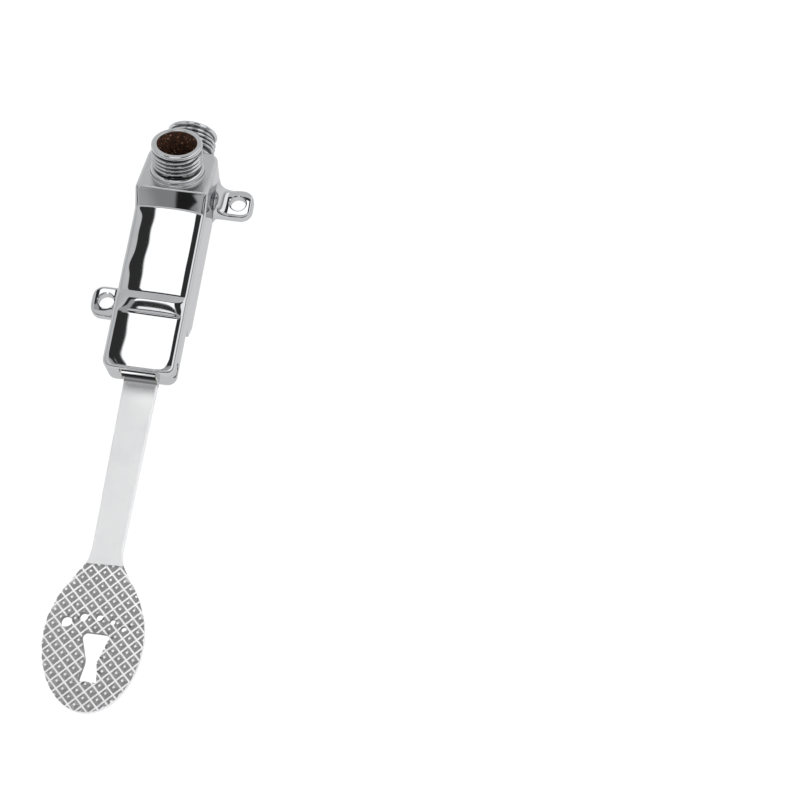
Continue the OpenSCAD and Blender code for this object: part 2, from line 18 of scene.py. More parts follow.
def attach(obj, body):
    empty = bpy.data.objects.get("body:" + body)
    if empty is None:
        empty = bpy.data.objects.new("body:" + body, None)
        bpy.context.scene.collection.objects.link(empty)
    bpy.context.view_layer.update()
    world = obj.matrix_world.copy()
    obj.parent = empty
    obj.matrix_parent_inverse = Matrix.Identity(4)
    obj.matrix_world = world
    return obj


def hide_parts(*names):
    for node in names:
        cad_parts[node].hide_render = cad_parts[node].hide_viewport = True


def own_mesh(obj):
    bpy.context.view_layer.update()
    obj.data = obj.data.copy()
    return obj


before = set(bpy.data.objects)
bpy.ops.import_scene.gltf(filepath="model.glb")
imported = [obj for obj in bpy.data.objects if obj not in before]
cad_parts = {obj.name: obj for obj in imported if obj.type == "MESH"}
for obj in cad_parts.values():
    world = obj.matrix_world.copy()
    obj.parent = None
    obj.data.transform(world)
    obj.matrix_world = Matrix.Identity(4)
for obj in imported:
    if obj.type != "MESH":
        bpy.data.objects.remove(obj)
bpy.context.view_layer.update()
LOG = logging.getLogger("pedal_valve")
MM = 0.001
SLIVER = 0.0005  # millimetres: edges and faces thinner than this are dissolved
STEM_Z = 11.6  # millimetres: height of the stem's axis
PIN_AT = (0.0, -58.7, 20.8)  # millimetres: middle of the hinge pin
PROBE = 0.05  # millimetres: half the distance over which a surface's lean is felt
QUARTER = math.pi / 2
TURN = 2 * math.pi

Color = tuple[float, float, float]
Point = tuple[float, float]
Ring = list[Vector]


class Body(Enum):
    """The moving bodies that a piece can ride on."""

    VALVE = "valve"
    STEM = "stem"
    PEDAL = "pedal"


class Slot(Enum):
    """The record's material slots."""

    BODY = "body_chrome"
    LEVER = "lever_chrome"
    BRASS = "brass"
    STEEL = "steel"
    SPRING = "spring_steel"
    RUBBER = "rubber"
    FIBRE = "fibre"
    ACETAL = "acetal"


def smoothstep(low: float, high: float, value: float) -> float:
    """Ease a value between two limits: 0 up to the low one, 1 from the high one on."""
    t = min(max((value - low) / (high - low), 0.0), 1.0)
    return t * t * (3 - 2 * t)


def soft_max(a: float, b: float, soft: float) -> float:
    """Join two heights with a hollow fillet; they blend as far as soft apart, and the upper one wins."""
    share = min(max(0.5 + 0.5 * (a - b) / soft, 0.0), 1.0)
    return b + (a - b) * share + soft * share * (1 - share)


def soft_min(a: float, b: float, soft: float) -> float:
    """Join two heights with a rounded ridge; the lower one wins."""
    return -soft_max(-a, -b, soft)


def round_off(distance: float, radius: float) -> float:
    """Give how far a quarter round draws back, at a distance from its corner's end."""
    reach = radius - min(max(distance, 0.0), radius)
    return radius - math.sqrt(radius * radius - reach * reach)


def arc(center: Point, radius: float, start: float, stop: float, steps: int) -> list[Point]:
    """Draw an arc of an outline between two angles, counted from the first axis towards the second."""
    angles = (start + (stop - start) * k / steps for k in range(steps + 1))
    return [(center[0] + radius * math.cos(a), center[1] + radius * math.sin(a)) for a in angles]


def axis_at(place: Sequence[float], angle: float, about: str = "X") -> Matrix:
    """Give the matrix that takes the Z axis to a place, turned about X or Y."""
    return Matrix.Translation(place) @ Matrix.Rotation(angle, 4, about)


def lean_at(height: Callable[[float], float], at: float) -> float:
    """Give how far a surface leans outwards at a place, or 0 where it climbs."""
    return max(math.atan((height(at - PROBE) - height(at + PROBE)) / (2 * PROBE)), 0.0)


STEM_AXIS = axis_at((0, 0, STEM_Z), -QUARTER)
HINGE_AXIS = axis_at(PIN_AT, QUARTER, "Y")


class NodeSheet:
    """A node tree that is filled one node at a time."""

    def __init__(self, tree: bpy.types.NodeTree) -> None:
        """Start from an empty tree."""
        self.tree = tree
        tree.nodes.clear()

    def add(self, kind: str, settings: Mapping[str, Any] = {}, inputs: Mapping[Any, Any] = {}) -> bpy.types.Node:
        """Add one node.

        Args:
            kind: The node's type name.
            settings: Properties to set on the node.
            inputs: Values or sockets for the node's inputs, by name or place.

        Returns:
            The new node.
        """
        node = self.tree.nodes.new(kind)
        for name, value in settings.items():
            setattr(node, name, value)
        for place, value in inputs.items():
            if isinstance(value, bpy.types.NodeSocket):
                self.tree.links.new(value, node.inputs[place])
            else:
                node.inputs[place].default_value = value
        return node

    def math(self, operation: str, *values: Any) -> bpy.types.NodeSocket:
        """Add a Math node and give its result."""
        return self.add("ShaderNodeMath", {"operation": operation}, dict(enumerate(values))).outputs[0]

    def spread(self, value: Any, low: float, high: float, to_low: float = 0.0,
               to_high: float = 1.0) -> bpy.types.NodeSocket:
        """Map a value smoothly from one range to another."""
        inputs = {"Value": value, "From Min": low, "From Max": high, "To Min": to_low, "To Max": to_high}
        return self.add("ShaderNodeMapRange", {"interpolation_type": "SMOOTHSTEP"}, inputs).outputs[0]

    def mix(self, share: Any, first: Any, second: Any) -> bpy.types.NodeSocket:
        """Mix two colours, each a socket or a plain colour, and give the result."""
        ends = [rgba(end) if isinstance(end, tuple) else end for end in (first, second)]
        return self.add("ShaderNodeMix", {"data_type": "RGBA"}, {0: share, 6: ends[0], 7: ends[1]}).outputs[2]

    def noise(self, where: Any, scale: float, detail: float, rough: float) -> bpy.types.NodeSocket:
        """Add a noise pattern from 0 to 1, by waves to the metre, octaves and the finer octaves' strength."""
        inputs = {"Vector": where, "Scale": scale, "Detail": detail, "Roughness": rough}
        return self.add("ShaderNodeTexNoise", {}, inputs).outputs["Fac"]

    def place(self) -> bpy.types.NodeSocket:
        """Give the Object coordinates."""
        return self.add("ShaderNodeTexCoord").outputs["Object"]

    def split(self, where: Any) -> Sequence[bpy.types.NodeSocket]:
        """Split coordinates into X, Y and Z."""
        return self.add("ShaderNodeSeparateXYZ", {}, {0: where}).outputs

    def stretch(self, where: Any, scale: Sequence[float]) -> bpy.types.NodeSocket:
        """Stretch coordinates by a Mapping node."""
        return self.add("ShaderNodeMapping", {}, {"Vector": where, "Scale": scale}).outputs[0]

    def bump(self, height: Any, distance: float, below: Any = None) -> bpy.types.NodeSocket:
        """Turn a height pattern into a normal.

        Args:
            height: The pattern, from 0 to 1.
            distance: Its depth in metres.
            below: A normal that this one is laid over.

        Returns:
            The bumped normal.
        """
        inputs = {"Strength": 1.0, "Distance": distance, "Height": height}
        if below is not None:
            inputs["Normal"] = below
        return self.add("ShaderNodeBump", {}, inputs).outputs[0]


def rgba(color: Color) -> tuple[float, float, float, float]:
    """Add a full alpha to a colour."""
    return (*color, 1.0)


@dataclass(frozen=True)
class Finish:
    """A surface finish that is worked out in shader nodes."""

    name: str

    def make(self) -> bpy.types.Material:
        """Make the material, or give the one that is made.

        Returns:
            The finish as a Blender material.
        """
        found = bpy.data.materials.get(self.name)
        if found:
            return found
        material = bpy.data.materials.new(self.name)
        material.use_nodes = True
        sheet = NodeSheet(material.node_tree)
        shader = sheet.add("ShaderNodeBsdfPrincipled", {}, self.shade(sheet))
        sheet.add("ShaderNodeOutputMaterial", {}, {"Surface": shader.outputs[0]})
        return material

    def shade(self, sheet: NodeSheet) -> dict[str, Any]:
        """Lay out the patterns that feed the shader; each kind of finish has its own."""
        raise NotImplementedError


@dataclass(frozen=True)
class PolishedChrome(Finish):
    """Chrome on a buffed casting, with a satin block round the outlet and, where asked, painted shade in a thread's
    grooves.
    """

    color: Color = (0.53, 0.535, 0.545)
    haze: Color = (0.48, 0.485, 0.50)
    polish: float = 0.035
    smudge: float = 0.05
    peel: float = 1.6e-6
    satin: float = 0.0
    satin_from: float = 0.0139
    satin_above: float = 0.0205
    grain: float = 5e-6
    # painted shade: how strongly a thread's grooves are darkened by their depth, and the colour they are darkened
    # towards
    groove_shade: float = 0.0
    painted_shade: Color = (0.035, 0.034, 0.034)
    edge: Color = (0.72, 0.72, 0.73)

    def shade(self, sheet: NodeSheet) -> dict[str, Any]:
        """Lay out smudges, faint ripple, the satin zone and the painted shade in a thread's grooves.

        Args:
            sheet: The material's node sheet.

        Returns:
            The shader's inputs, by name.
        """
        where = sheet.place()
        smudges = sheet.spread(sheet.noise(where, 55, 4, 0.6), 0.5, 0.78)
        ripple = sheet.noise(where, 210, 1.5, 0.4)
        rough = sheet.math("MULTIPLY_ADD", smudges, self.smudge, self.polish)
        normal = sheet.bump(ripple, self.peel)
        if self.satin > 0:
            _, along, high = sheet.split(where)
            zone = sheet.math("MULTIPLY", sheet.spread(along, self.satin_from, self.satin_from + 0.0012),
                              sheet.spread(high, self.satin_above, self.satin_above + 0.002))
            rough = sheet.math("MULTIPLY_ADD", zone, self.satin, rough)
            specks = sheet.math("MULTIPLY", sheet.noise(where, 3800, 2, 0.6), zone)
            normal = sheet.bump(specks, self.grain, normal)
        tint = sheet.mix(smudges, self.color, self.haze)
        # painted shade in the thread's grooves: deeper means darker
        if self.groove_shade > 0:
            grooves = sheet.add("ShaderNodeAttribute", {"attribute_name": "groove"}).outputs["Fac"]
            tint = sheet.mix(sheet.math("MULTIPLY", grooves, self.groove_shade), tint, self.painted_shade)
        return {"Base Color": tint, "Metallic": 1.0, "Roughness": rough, "Normal": normal,
                "Specular Tint": rgba(self.edge)}


@dataclass(frozen=True)
class SatinChrome(Finish):
    """Chrome on a casting that was only brushed, with a polished barrel, fine scratches along the bar and painted
    shade across the barrel's front.
    """

    color: Color = (0.94, 0.945, 0.95)
    worn: Color = (0.87, 0.875, 0.885)
    bright: Color = (0.97, 0.97, 0.975)
    satin: float = 0.5
    patch: float = 0.05
    polish: float = 0.05
    barrel_y: float = -0.0655
    sleek_y: float = -0.082
    sleek: float = 0.13
    # painted shade: the barrel's front is darkened to near black between these heights, less so at its foot
    shade_y: float = -0.0642
    shade_z: tuple[float, float] = (0.0198, 0.0227)
    # colour of the painted shade, and how much of it is left at the band's foot
    painted_shade: Color = (0.015, 0.015, 0.016)
    painted_shade_low: float = 0.55
    wear: float = 0.7
    edge: Color = (0.72, 0.72, 0.73)
    scratch: float = 1.2e-6
    grain: float = 2.5e-6

    def shade(self, sheet: NodeSheet) -> dict[str, Any]:
        """Lay out the brushed scratches, the worn patches and the painted shade on the barrel's front.

        Args:
            sheet: The material's node sheet.

        Returns:
            The shader's inputs, by name.
        """
        where = sheet.place()
        patches = sheet.spread(sheet.noise(where, 70, 5, 0.6), 0.42, 0.75)
        brushed = sheet.noise(sheet.stretch(where, (1.0, 0.06, 1.0)), 2600, 3, 0.6)
        grains = sheet.noise(where, 5200, 2, 0.5)
        _, along, high = sheet.split(where)
        brushed_zone = sheet.spread(along, self.barrel_y, self.barrel_y + 0.0012, 1.0, 0.0)
        # mask of the painted shade on the barrel's front
        low, top = self.shade_z
        painted_shade_mask = sheet.math("MULTIPLY", sheet.spread(high, low, low + 0.0004, self.painted_shade_low, 1.0),
                           sheet.spread(high, top, top + 0.0005, 1.0, 0.0))
        painted_shade_mask = sheet.math("MULTIPLY", painted_shade_mask, sheet.spread(along, self.shade_y, self.shade_y + 0.0003))
        rough = sheet.math("MULTIPLY_ADD", patches, self.patch, self.satin - self.polish)
        rough = sheet.math("SUBTRACT", rough, sheet.spread(along, self.sleek_y, self.barrel_y, 0.0, self.sleek))
        rough = sheet.math("MULTIPLY_ADD", rough, brushed_zone, self.polish)
        normal = sheet.bump(grains, self.grain, sheet.bump(brushed, self.scratch))
        tint = sheet.mix(sheet.math("MULTIPLY", patches, self.wear), self.color, self.worn)
        tint = sheet.mix(brushed_zone, self.bright, tint)
        # lay the painted shade over the barrel's front
        tint = sheet.mix(painted_shade_mask, tint, self.painted_shade)
        return {"Base Color": tint, "Metallic": 1.0, "Roughness": rough, "Normal": normal,
                "Specular Tint": rgba(self.edge)}


@dataclass(frozen=True)
class TurnedMetal(Finish):
    """Bar metal with the fine rings that a lathe leaves."""

    color: Color = (0.62, 0.43, 0.16)
    stain: Color = (0.34, 0.20, 0.07)
    rough: float = 0.22
    rings: float = 5200.0
    depth: float = 1.5e-6

    def shade(self, sheet: NodeSheet) -> dict[str, Any]:
        """Lay out the turned rings and the stains.

        Args:
            sheet: The material's node sheet.

        Returns:
            The shader's inputs, by name.
        """
        where = sheet.place()
        stains = sheet.spread(sheet.noise(where, 160, 5, 0.65), 0.45, 0.8)
        lines = sheet.noise(sheet.stretch(where, (0.02, 1.0, 0.02)), self.rings, 2, 0.6)
        rough = sheet.math("MULTIPLY_ADD", stains, 0.22, self.rough)
        tint = sheet.mix(stains, self.color, self.stain)
        normal = sheet.bump(lines, self.depth)
        return {"Base Color": tint, "Metallic": 1.0, "Roughness": rough, "Normal": normal}


@dataclass(frozen=True)
class Moulded(Finish):
    """Rubber, fibre or acetal: a body colour with mottling and a fine skin."""

    color: Color = (0.02, 0.02, 0.021)
    mottle: Color = (0.05, 0.048, 0.045)
    rough: float = 0.55
    mottles: float = 420.0
    skin: float = 3e-6

    def shade(self, sheet: NodeSheet) -> dict[str, Any]:
        """Lay out the mottling and the skin.

        Args:
            sheet: The material's node sheet.

        Returns:
            The shader's inputs, by name.
        """
        where = sheet.place()
        spots = sheet.noise(where, self.mottles, 5, 0.6)
        tint = sheet.mix(sheet.spread(spots, 0.35, 0.7), self.color, self.mottle)
        rough = sheet.math("MULTIPLY_ADD", spots, 0.2, self.rough - 0.1)
        normal = sheet.bump(sheet.noise(where, 3000, 3, 0.55), self.skin)
        return {"Base Color": tint, "Roughness": rough, "Normal": normal}


@dataclass(frozen=True)
class RawCasting(Finish):
    """The unplated brown skin inside a bore, with bright grains of bare metal."""

    dark: Color = (0.024, 0.012, 0.008)
    brown: Color = (0.17, 0.062, 0.027)
    grain: Color = (0.98, 0.66, 0.45)
    grains: float = 900.0

    def shade(self, sheet: NodeSheet) -> dict[str, Any]:
        """Lay out the brown skin and its bright grains.

        Args:
            sheet: The material's node sheet.

        Returns:
            The shader's inputs, by name.
        """
        where = sheet.place()
        clouds = sheet.noise(where, 900, 5, 0.7)
        crumbs = sheet.add("ShaderNodeTexVoronoi", {}, {"Vector": where, "Scale": self.grains, "Randomness": 1.0})
        near = sheet.spread(crumbs.outputs["Distance"], 0.16, 0.30, 1.0, 0.0)
        rare = sheet.spread(sheet.noise(where, 420, 3, 0.6), 0.50, 0.60)
        shine = sheet.math("MULTIPLY", near, rare)
        skin = sheet.mix(sheet.spread(clouds, 0.38, 0.68), self.dark, self.brown)
        tint = sheet.mix(shine, skin, self.grain)
        rough = sheet.math("MULTIPLY_ADD", shine, -0.3, 0.75)
        normal = sheet.bump(clouds, 1.2e-4)
        return {"Base Color": tint, "Roughness": rough, "Normal": normal}


@dataclass(frozen=True)
class PaleFloor(Finish):
    """A bright, even floor that takes only a trace of shadow."""

    glow: float = 0.93
    paper: Color = (0.16, 0.16, 0.16)
    fibre: Color = (0.18, 0.18, 0.18)

    def shade(self, sheet: NodeSheet) -> dict[str, Any]:
        """Lay out the floor's own light and its faint paper grain.

        Args:
            sheet: The material's node sheet.

        Returns:
            The shader's inputs, by name.
        """
        grain = sheet.noise(sheet.place(), 40, 3, 0.5)
        return {"Base Color": sheet.mix(grain, self.paper, self.fibre), "Roughness": 0.9,
                "Emission Color": rgba((1.0, 1.0, 1.0)), "Emission Strength": self.glow, "Specular IOR Level": 0.0}


CHROME = PolishedChrome("polished_chrome")
# painted shade in the grooves of the spigots' threads
THREAD_CHROME = PolishedChrome("thread_chrome", groove_shade=0.75)
# painted shade: near-black chrome for the walls inside the lever's footprint
WALL_SHADE_CHROME = PolishedChrome("painted_shade_wall", (0.20, 0.20, 0.205), (0.12, 0.12, 0.125), 0.38)
BLOCK_CHROME = PolishedChrome("casting_chrome", satin=0.2)
LEVER_CHROME = SatinChrome("lever_satin_chrome")
# painted shade: darker chrome for the studs' sloping flanks
STUD_SHADE_CHROME = PolishedChrome("stud_flank_painted_shade", (0.58, 0.575, 0.575), (0.47, 0.465, 0.465), 0.3)
WORN_CHROME = SatinChrome("worn_bright_chrome", (0.95, 0.95, 0.955), (0.88, 0.88, 0.89), satin=0.3)
RAW = RawCasting("raw_casting")
FINISHES: dict[Slot, Finish] = {
    Slot.BRASS: TurnedMetal("turned_brass"),
    Slot.STEEL: TurnedMetal("turned_steel", (0.50, 0.50, 0.51), (0.30, 0.29, 0.28), 0.2, 6000.0, 1.2e-6),
    Slot.SPRING: TurnedMetal("drawn_wire", (0.52, 0.52, 0.53), (0.26, 0.25, 0.24), 0.26, 2400.0, 1e-6),
    Slot.RUBBER: Moulded("black_rubber"),
    Slot.FIBRE: Moulded("red_fibre", (0.16, 0.05, 0.03), (0.26, 0.10, 0.06), 0.7, 900.0, 8e-6),
    Slot.ACETAL: Moulded("white_acetal", (0.78, 0.77, 0.72), (0.70, 0.69, 0.64), 0.38, 300.0, 1.5e-6),
}


def loft(mesh: bmesh.types.BMesh, rings: Sequence[Ring]) -> None:
    """Extrude a ring from section to section and close both ends.

    Args:
        mesh: The mesh to add the tube to.
        rings: The sections, with as many corners each.
    """
    layer = mesh.verts.layers.int.new("ring_place")
    first = bmesh.ops.create_circle(mesh, segments=len(rings[0]), radius=1.0)["verts"]
    for place, corner in enumerate(first):
        corner[layer] = place
        corner.co = rings[0][place]
    edges = list({edge for corner in first for edge in corner.link_edges})
    ends = list(edges)
    for ring in rings[1:]:
        made = bmesh.ops.extrude_edge_only(mesh, edges=edges)["geom"]
        corners = {item for item in made if isinstance(item, bmesh.types.BMVert)}
        edges = [item for item in made if isinstance(item, bmesh.types.BMEdge) and set(item.verts) <= corners]
        for corner in corners:
            corner.co = ring[corner[layer]]
    for rim in (ends, edges):
        bmesh.ops.edgeloop_fill(mesh, edges=rim)
    bmesh.ops.recalc_face_normals(mesh, faces=mesh.faces)


def turn(mesh: bmesh.types.BMesh, outline: Sequence[Point], steps: int) -> None:
    """Turn a closed outline of radius and height about the Z axis.

    Args:
        mesh: The mesh to add the turned shape to.
        outline: Radius and height of each corner.
        steps: Steps round the full turn.
    """
    corners = [mesh.verts.new((radius, 0.0, height)) for radius, height in outline]
    sides = [mesh.edges.new((corner, corners[place - 1])) for place, corner in enumerate(corners)]
    bmesh.ops.spin(mesh, geom=corners + sides, cent=(0, 0, 0), axis=(0, 0, 1), angle=TURN, steps=steps,
                   use_merge=True, use_duplicate=False)
    bmesh.ops.remove_doubles(mesh, verts=mesh.verts, dist=1e-4)
    bmesh.ops.recalc_face_normals(mesh, faces=mesh.faces)


def put(name: str, data: bpy.types.ID) -> bpy.types.Object:
    """Put an object for a mesh or a camera into the scene.

    Args:
        name: The object's name.
        data: Its mesh or camera.

    Returns:
        The new object.
    """
    made = bpy.data.objects.new(name, data)
    bpy.context.scene.collection.objects.link(made)
    return made


def put_mesh(name: str, mesh: bmesh.types.BMesh, *skins: Finish) -> bpy.types.Object:
    """Put a worked mesh into the scene.

    Args:
        name: The object's name.
        mesh: The worked mesh, which is used up.
        *skins: Its finishes, in the order of the faces' material places.

    Returns:
        The new object.
    """
    data = bpy.data.meshes.new(name)
    mesh.to_mesh(data)
    mesh.free()
    for skin in skins:
        data.materials.append(skin.make())
    return put(name, data)


@dataclass
class Piece:
    """One finished piece of the part: where it rides, what it stands for and how it is dressed."""

    name: str
    body: Body
    slot: Slot
    finish: Finish
    stands_for: tuple[str, ...]
    sharp: float
    faceted: bool = False

    def block(self, mesh: bmesh.types.BMesh, *more: Finish) -> bpy.types.Object:
        """Make the object in millimetres from a worked mesh, with its own finish first."""
        return put_mesh(self.name, mesh, self.finish, *more)

    def complete(self, made: bpy.types.Object) -> bpy.types.Object:
        """Scale a worked object to metres, shade it and fit it into the part.

        Args:
            made: The object, in millimetres.

        Returns:
            The same object, riding on its body.
        """
        mesh = bmesh.new()
        mesh.from_mesh(made.data)
        bmesh.ops.dissolve_degenerate(mesh, dist=SLIVER, edges=mesh.edges)
        mesh.to_mesh(made.data)
        mesh.free()
        made.data.transform(Matrix.Scale(MM, 4))
        if not self.faceted:
            made.data.polygons.foreach_set("use_smooth", [True] * len(made.data.polygons))
        made.data.set_sharp_from_angle(angle=math.radians(self.sharp))
        made.data.update()
        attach(made, self.body.value)
        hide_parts(*self.stands_for)
        LOG.info("%s: %d faces, for %s", self.name, len(made.data.polygons), ", ".join(self.stands_for))
        return made


def small_piece(name: str, body: Body, slot: Slot, node: str, sharp: float = 30.0) -> Piece:
    """Describe a piece that has its slot's own finish."""
    return Piece(name, body, slot, FINISHES[slot], (node,), sharp)


def cut(work: bpy.types.Object, tool: bmesh.types.BMesh, skin: Finish) -> None:
    """Cut a tool's shape out of a worked object.

    Args:
        work: The object to cut, in millimetres.
        tool: The cutter's mesh, which is used up.
        skin: The finish of the cut faces.
    """
    cutter = put_mesh("cutter", tool, skin)
    step = work.modifiers.new("cut", "BOOLEAN")
    step.operation = "DIFFERENCE"
    step.solver = "EXACT"
    step.material_mode = "TRANSFER"
    step.object = cutter
    graph = bpy.context.evaluated_depsgraph_get()
    result = bpy.data.meshes.new_from_object(work.evaluated_get(graph))
    work.modifiers.clear()
    spent = (work.data, cutter.data)
    work.data = result
    bpy.data.objects.remove(cutter)
    for data in spent:
        bpy.data.meshes.remove(data)


@dataclass
class BodyCasting:
    """The chromed casting: front panels, rib, port block, hood and the bores inside it."""

    base_w: float = 27.4
    front_w: float = 29.6
    panel_z: float = 28.3
    hood_end_y: float = -63.2
    front_y: float = -38.0
    rear_y: float = 38.7
    end_chamfer: float = 6.2
    hood_z: float = 14.2
    front_edge_r: float = 2.4
    face_edge_r: float = 1.8
    edge_change_y: tuple[float, float] = (9.0, 14.0)
    corner_r: float = 4.0
    cast_r: float = 0.8
    rib_start: float = -40.1
    rib_tilts: tuple[Point, ...] = ((0.0, 0.0), (0.25, 4.6), (1.05, 6.9), (1.25, 14.5), (1.5, 16.0), (2.0, 16.0),
                                    (2.2, 14.5), (2.45, 9.7), (3.5, 7.3), (6.3, 4.6), (6.75, -6.0), (6.9, -10.5),
                                    (9.2, -25.0), (10.3, -9.5), (11.0, -5.2), (11.9, 0.0))
    rib_top: float = 1.1
    rib_roll: tuple[float, float] = (9.3, 10.3)
    roll_stop: tuple[float, float] = (1.1, 1.2)
    riser_y: float = 8.6
    riser_run: float = 5.7
    riser_rise: float = 4.9
    riser_bow: float = 0.05
    riser_fillet: float = 0.35
    face_slope: float = 25.3
    panel_crown: float = 120.0
    hood_crown: float = 185.0
    riser_crown: float = 200.0
    crown_end: tuple[float, float] = (13.6, 15.2)
    ridge_r: float = 0.45
    end_r: float = 1.1
    roll: float = 0.16
    roll_power: int = 7
    panel_roll: tuple[float, float] = (12.4, 13.1)
    hood_roll: tuple[float, float] = (14.0, 13.1)
    unroll: float = 3.0
    unroll_y: tuple[float, float] = (4.0, 7.5)
    sweep_r: float = 6.5
    droop_at: Point = (-2.0, -57.0)
    droop: float = 0.011
    droop_soft: float = 2.0
    dent: tuple[float, float, float] = (-18.5, 3.2, 1.4)
    wander: float = 0.5
    wave: float = 0.035
    twist: float = 0.006
    calm_edge: float = 3.0
    calm_y: tuple[float, float] = (6.5, 9.0)
    slot_w: float = 15.0
    slot_edge: float = 0.3
    hood_roof: float = 2.0
    pin_core: tuple[Point, ...] = ((3.03, -20.0), (3.03, 20.0))
    core: tuple[Point, ...] = ((4.6, -39.0), (4.6, -29.0), (2.55, -29.0), (2.55, -22.0), (7.4, -22.0),
                               (7.4, 31.0), (8.15, 31.0), (8.15, 54.0))
    outlet_core: tuple[Point, ...] = ((6.0, -17.79), (6.0, -2.4), (8.15, -2.4), (8.15, 15.0))
    outlet_foot: tuple[float, float, float] = (0.0, 25.963, 27.687)

    def half_width(self, z: float) -> float:
        """Give half the drafted width at a height."""
        return (self.base_w + (self.front_w - self.base_w) / self.panel_z * z) / 2

    def rib_rise(self, y: float) -> float:
        """Give the rib's height over the panels, summed up from its tilts.

        Args:
            y: Place along the body.

        Returns:
            The height at that place.
        """
        height = 0.0
        for (start, first), (stop, last) in zip(self.rib_tilts, self.rib_tilts[1:]):
            reach = min(max(y - self.rib_start, start), stop) - start
            middle = first + (last - first) * reach / (stop - start) / 2
            height += reach * math.tan(math.radians(middle))
        return height

    def ramp(self, away: float) -> float:
        """Give a ramp that starts softly at nothing."""
        return math.hypot(max(away, 0.0), self.droop_soft) - self.droop_soft

    def panel(self, x: float, y: float) -> float:
        """Give the height of the polished panels and of the rib between them.

        Args:
            x: Place across the body.
            y: Place along the body.

        Returns:
            The height, with the crown, the rolled edges and the polisher's waves.
        """
        right = x > 0
        low, high = self.rib_start, self.rib_start + self.rib_tilts[-1][0]
        upper = smoothstep(low, high, y)
        rise = self.rib_rise(y)
        on_rib = min(max(rise / self.rib_top, 0.0), 1.0)
        bend = 1 / self.hood_crown + (1 / self.panel_crown - 1 / self.hood_crown) * upper
        reach = self.hood_roll[right] + (self.panel_roll[right] - self.hood_roll[right]) * upper
        if not right:
            middle, spread, depth = self.dent
            reach += depth * math.exp(-((y - middle) / spread) ** 2)
            reach += self.wander * upper * noise.noise(Vector((1.3, y * 0.21, 6.1)))
            reach += self.unroll * smoothstep(*self.unroll_y, y)
        reach += (self.rib_roll[right] - reach) * on_rib
        reach -= round_off(y - self.hood_end_y, self.sweep_r)
        droop = self.droop * self.ramp(self.droop_at[0] - x) * self.ramp(self.droop_at[1] - y)
        share = abs(x) / reach
        steep = min(share, self.roll_stop[right])
        power = self.roll_power
        rolled = (steep ** power / power + (share - steep) * steep ** (power - 1)) * reach * self.roll
        calm = smoothstep(0, self.calm_edge, self.front_w / 2 - abs(x)) * (1 - smoothstep(*self.calm_y, y))
        lift = self.wave * noise.noise(Vector((x * 0.09, y * 0.11, 3.7)))
        lift += self.twist * x * noise.noise(Vector((0.4, y * 0.085, 9.1)))
        return self.panel_z + rise - x * x * bend / 2 - rolled - droop + calm * (1 - on_rib) * lift

    def front(self, x: float, y: float) -> float:
        """Give the height of the front anywhere: panels, rib, riser or port block.

        Args:
            x: Place across the body.
            y: Place along the body.

        Returns:
            The height of the surface.
        """
        ridge_y = self.riser_y + self.riser_run
        way = (y - self.riser_y) / self.riser_run
        rise = self.panel_z + way * self.riser_rise + self.riser_bow * max(1 - (2 * way - 1) ** 2, 0.0)
        fall = self.panel_z + self.riser_rise - (y - ridge_y) * math.tan(math.radians(self.face_slope))
        crown = x * x / 2 / self.riser_crown * (1 - smoothstep(*self.crown_end, y))
        block = soft_min(rise, fall, self.ridge_r) - crown
        sink = round_off(min(y - self.hood_end_y, self.rear_y - y), self.end_r)
        if y > ridge_y:
            return block - sink
        return soft_max(self.panel(x, y), block, self.riser_fillet) - sink

    def low(self, y: float) -> float:
        """Give the height of the underside: the base, its chamfer or the hood's lower side."""
        return self.hood_z if y < self.front_y else max(self.end_chamfer - (y - self.front_y), 0.0)

    def half_section(self, y: float, side: int) -> Ring:
        """Work out one half of a section of the casting.

        Args:
            y: Place along the body.
            side: 1 for the half towards +X, -1 for the other.

        Returns:
            The corners, from the middle of the base to the middle of the front.
        """
        ends = min(y - self.hood_end_y, self.rear_y - y)
        inset = round_off(ends, self.corner_r)
        z0 = self.low(y) + round_off(ends, self.cast_r)
        edge = self.front_edge_r + (self.face_edge_r - self.front_edge_r) * smoothstep(*self.edge_change_y, y)
        corner = min(self.cast_r, 0.4 * (self.front(0.0, y) - z0))
        foot = self.half_width(z0) - inset - corner
        half = [(foot * k / 4, z0) for k in range(4)] + arc((foot, z0 + corner), corner, -QUARTER, 0, 4)
        reach = self.half_width(self.panel_z) - inset - edge
        lean = 0.0
        for _ in range(4):
            lean = lean_at(lambda out: self.front(side * out, y), reach)
            reach = self.half_width(self.front(side * reach, y)) - inset - edge + edge * math.sin(lean)
        side_low = z0 + corner
        side_high = self.front(side * reach, y) - edge * math.cos(lean)
        heights = (side_low + (side_high - side_low) * k / 12 for k in range(1, 12))
        half += [(self.half_width(z) - inset, z) for z in heights]
        half += arc((self.half_width(side_high) - inset - edge, side_high), edge, 0, QUARTER - lean, 11)
        reach = half[-1][0]
        half += [(out, self.front(side * out, y)) for out in (reach * (1 - (k / 40) ** 1.15) for k in range(1, 41))]
        return [Vector((side * out, y, z)) for out, z in half]

    def section(self, y: float) -> Ring:
        """Join both halves of a section into a closed ring."""
        return self.half_section(y, 1) + self.half_section(y, -1)[-2:0:-1]

    def stations(self) -> list[float]:
        """Choose where the sections stand: close together at the rounds.

        Returns:
            The places along the body, in order.
        """
        ends = (0.0, 0.03, 0.1, 0.22, 0.4, 0.62, 0.86, 1.1, 1.5, 2.1, 2.9, 3.8)
        fine = ((-40.6, -27.6, 0.2), (6.4, 16.0, 0.2))
        places = {self.hood_end_y + step for step in ends} | {self.rear_y - step for step in ends}
        places |= {self.front_y - 0.05, self.front_y, self.front_y + self.end_chamfer}
        for start, stop, step in fine:
            places |= {start + step * k for k in range(int((stop - start) / step) + 1)}
        y = self.hood_end_y + 5
        while y < self.rear_y - 5:
            if not any(start - 0.5 < y < stop + 0.5 for start, stop, _ in fine):
                places.add(y)
            y += 0.9
        return sorted(places)

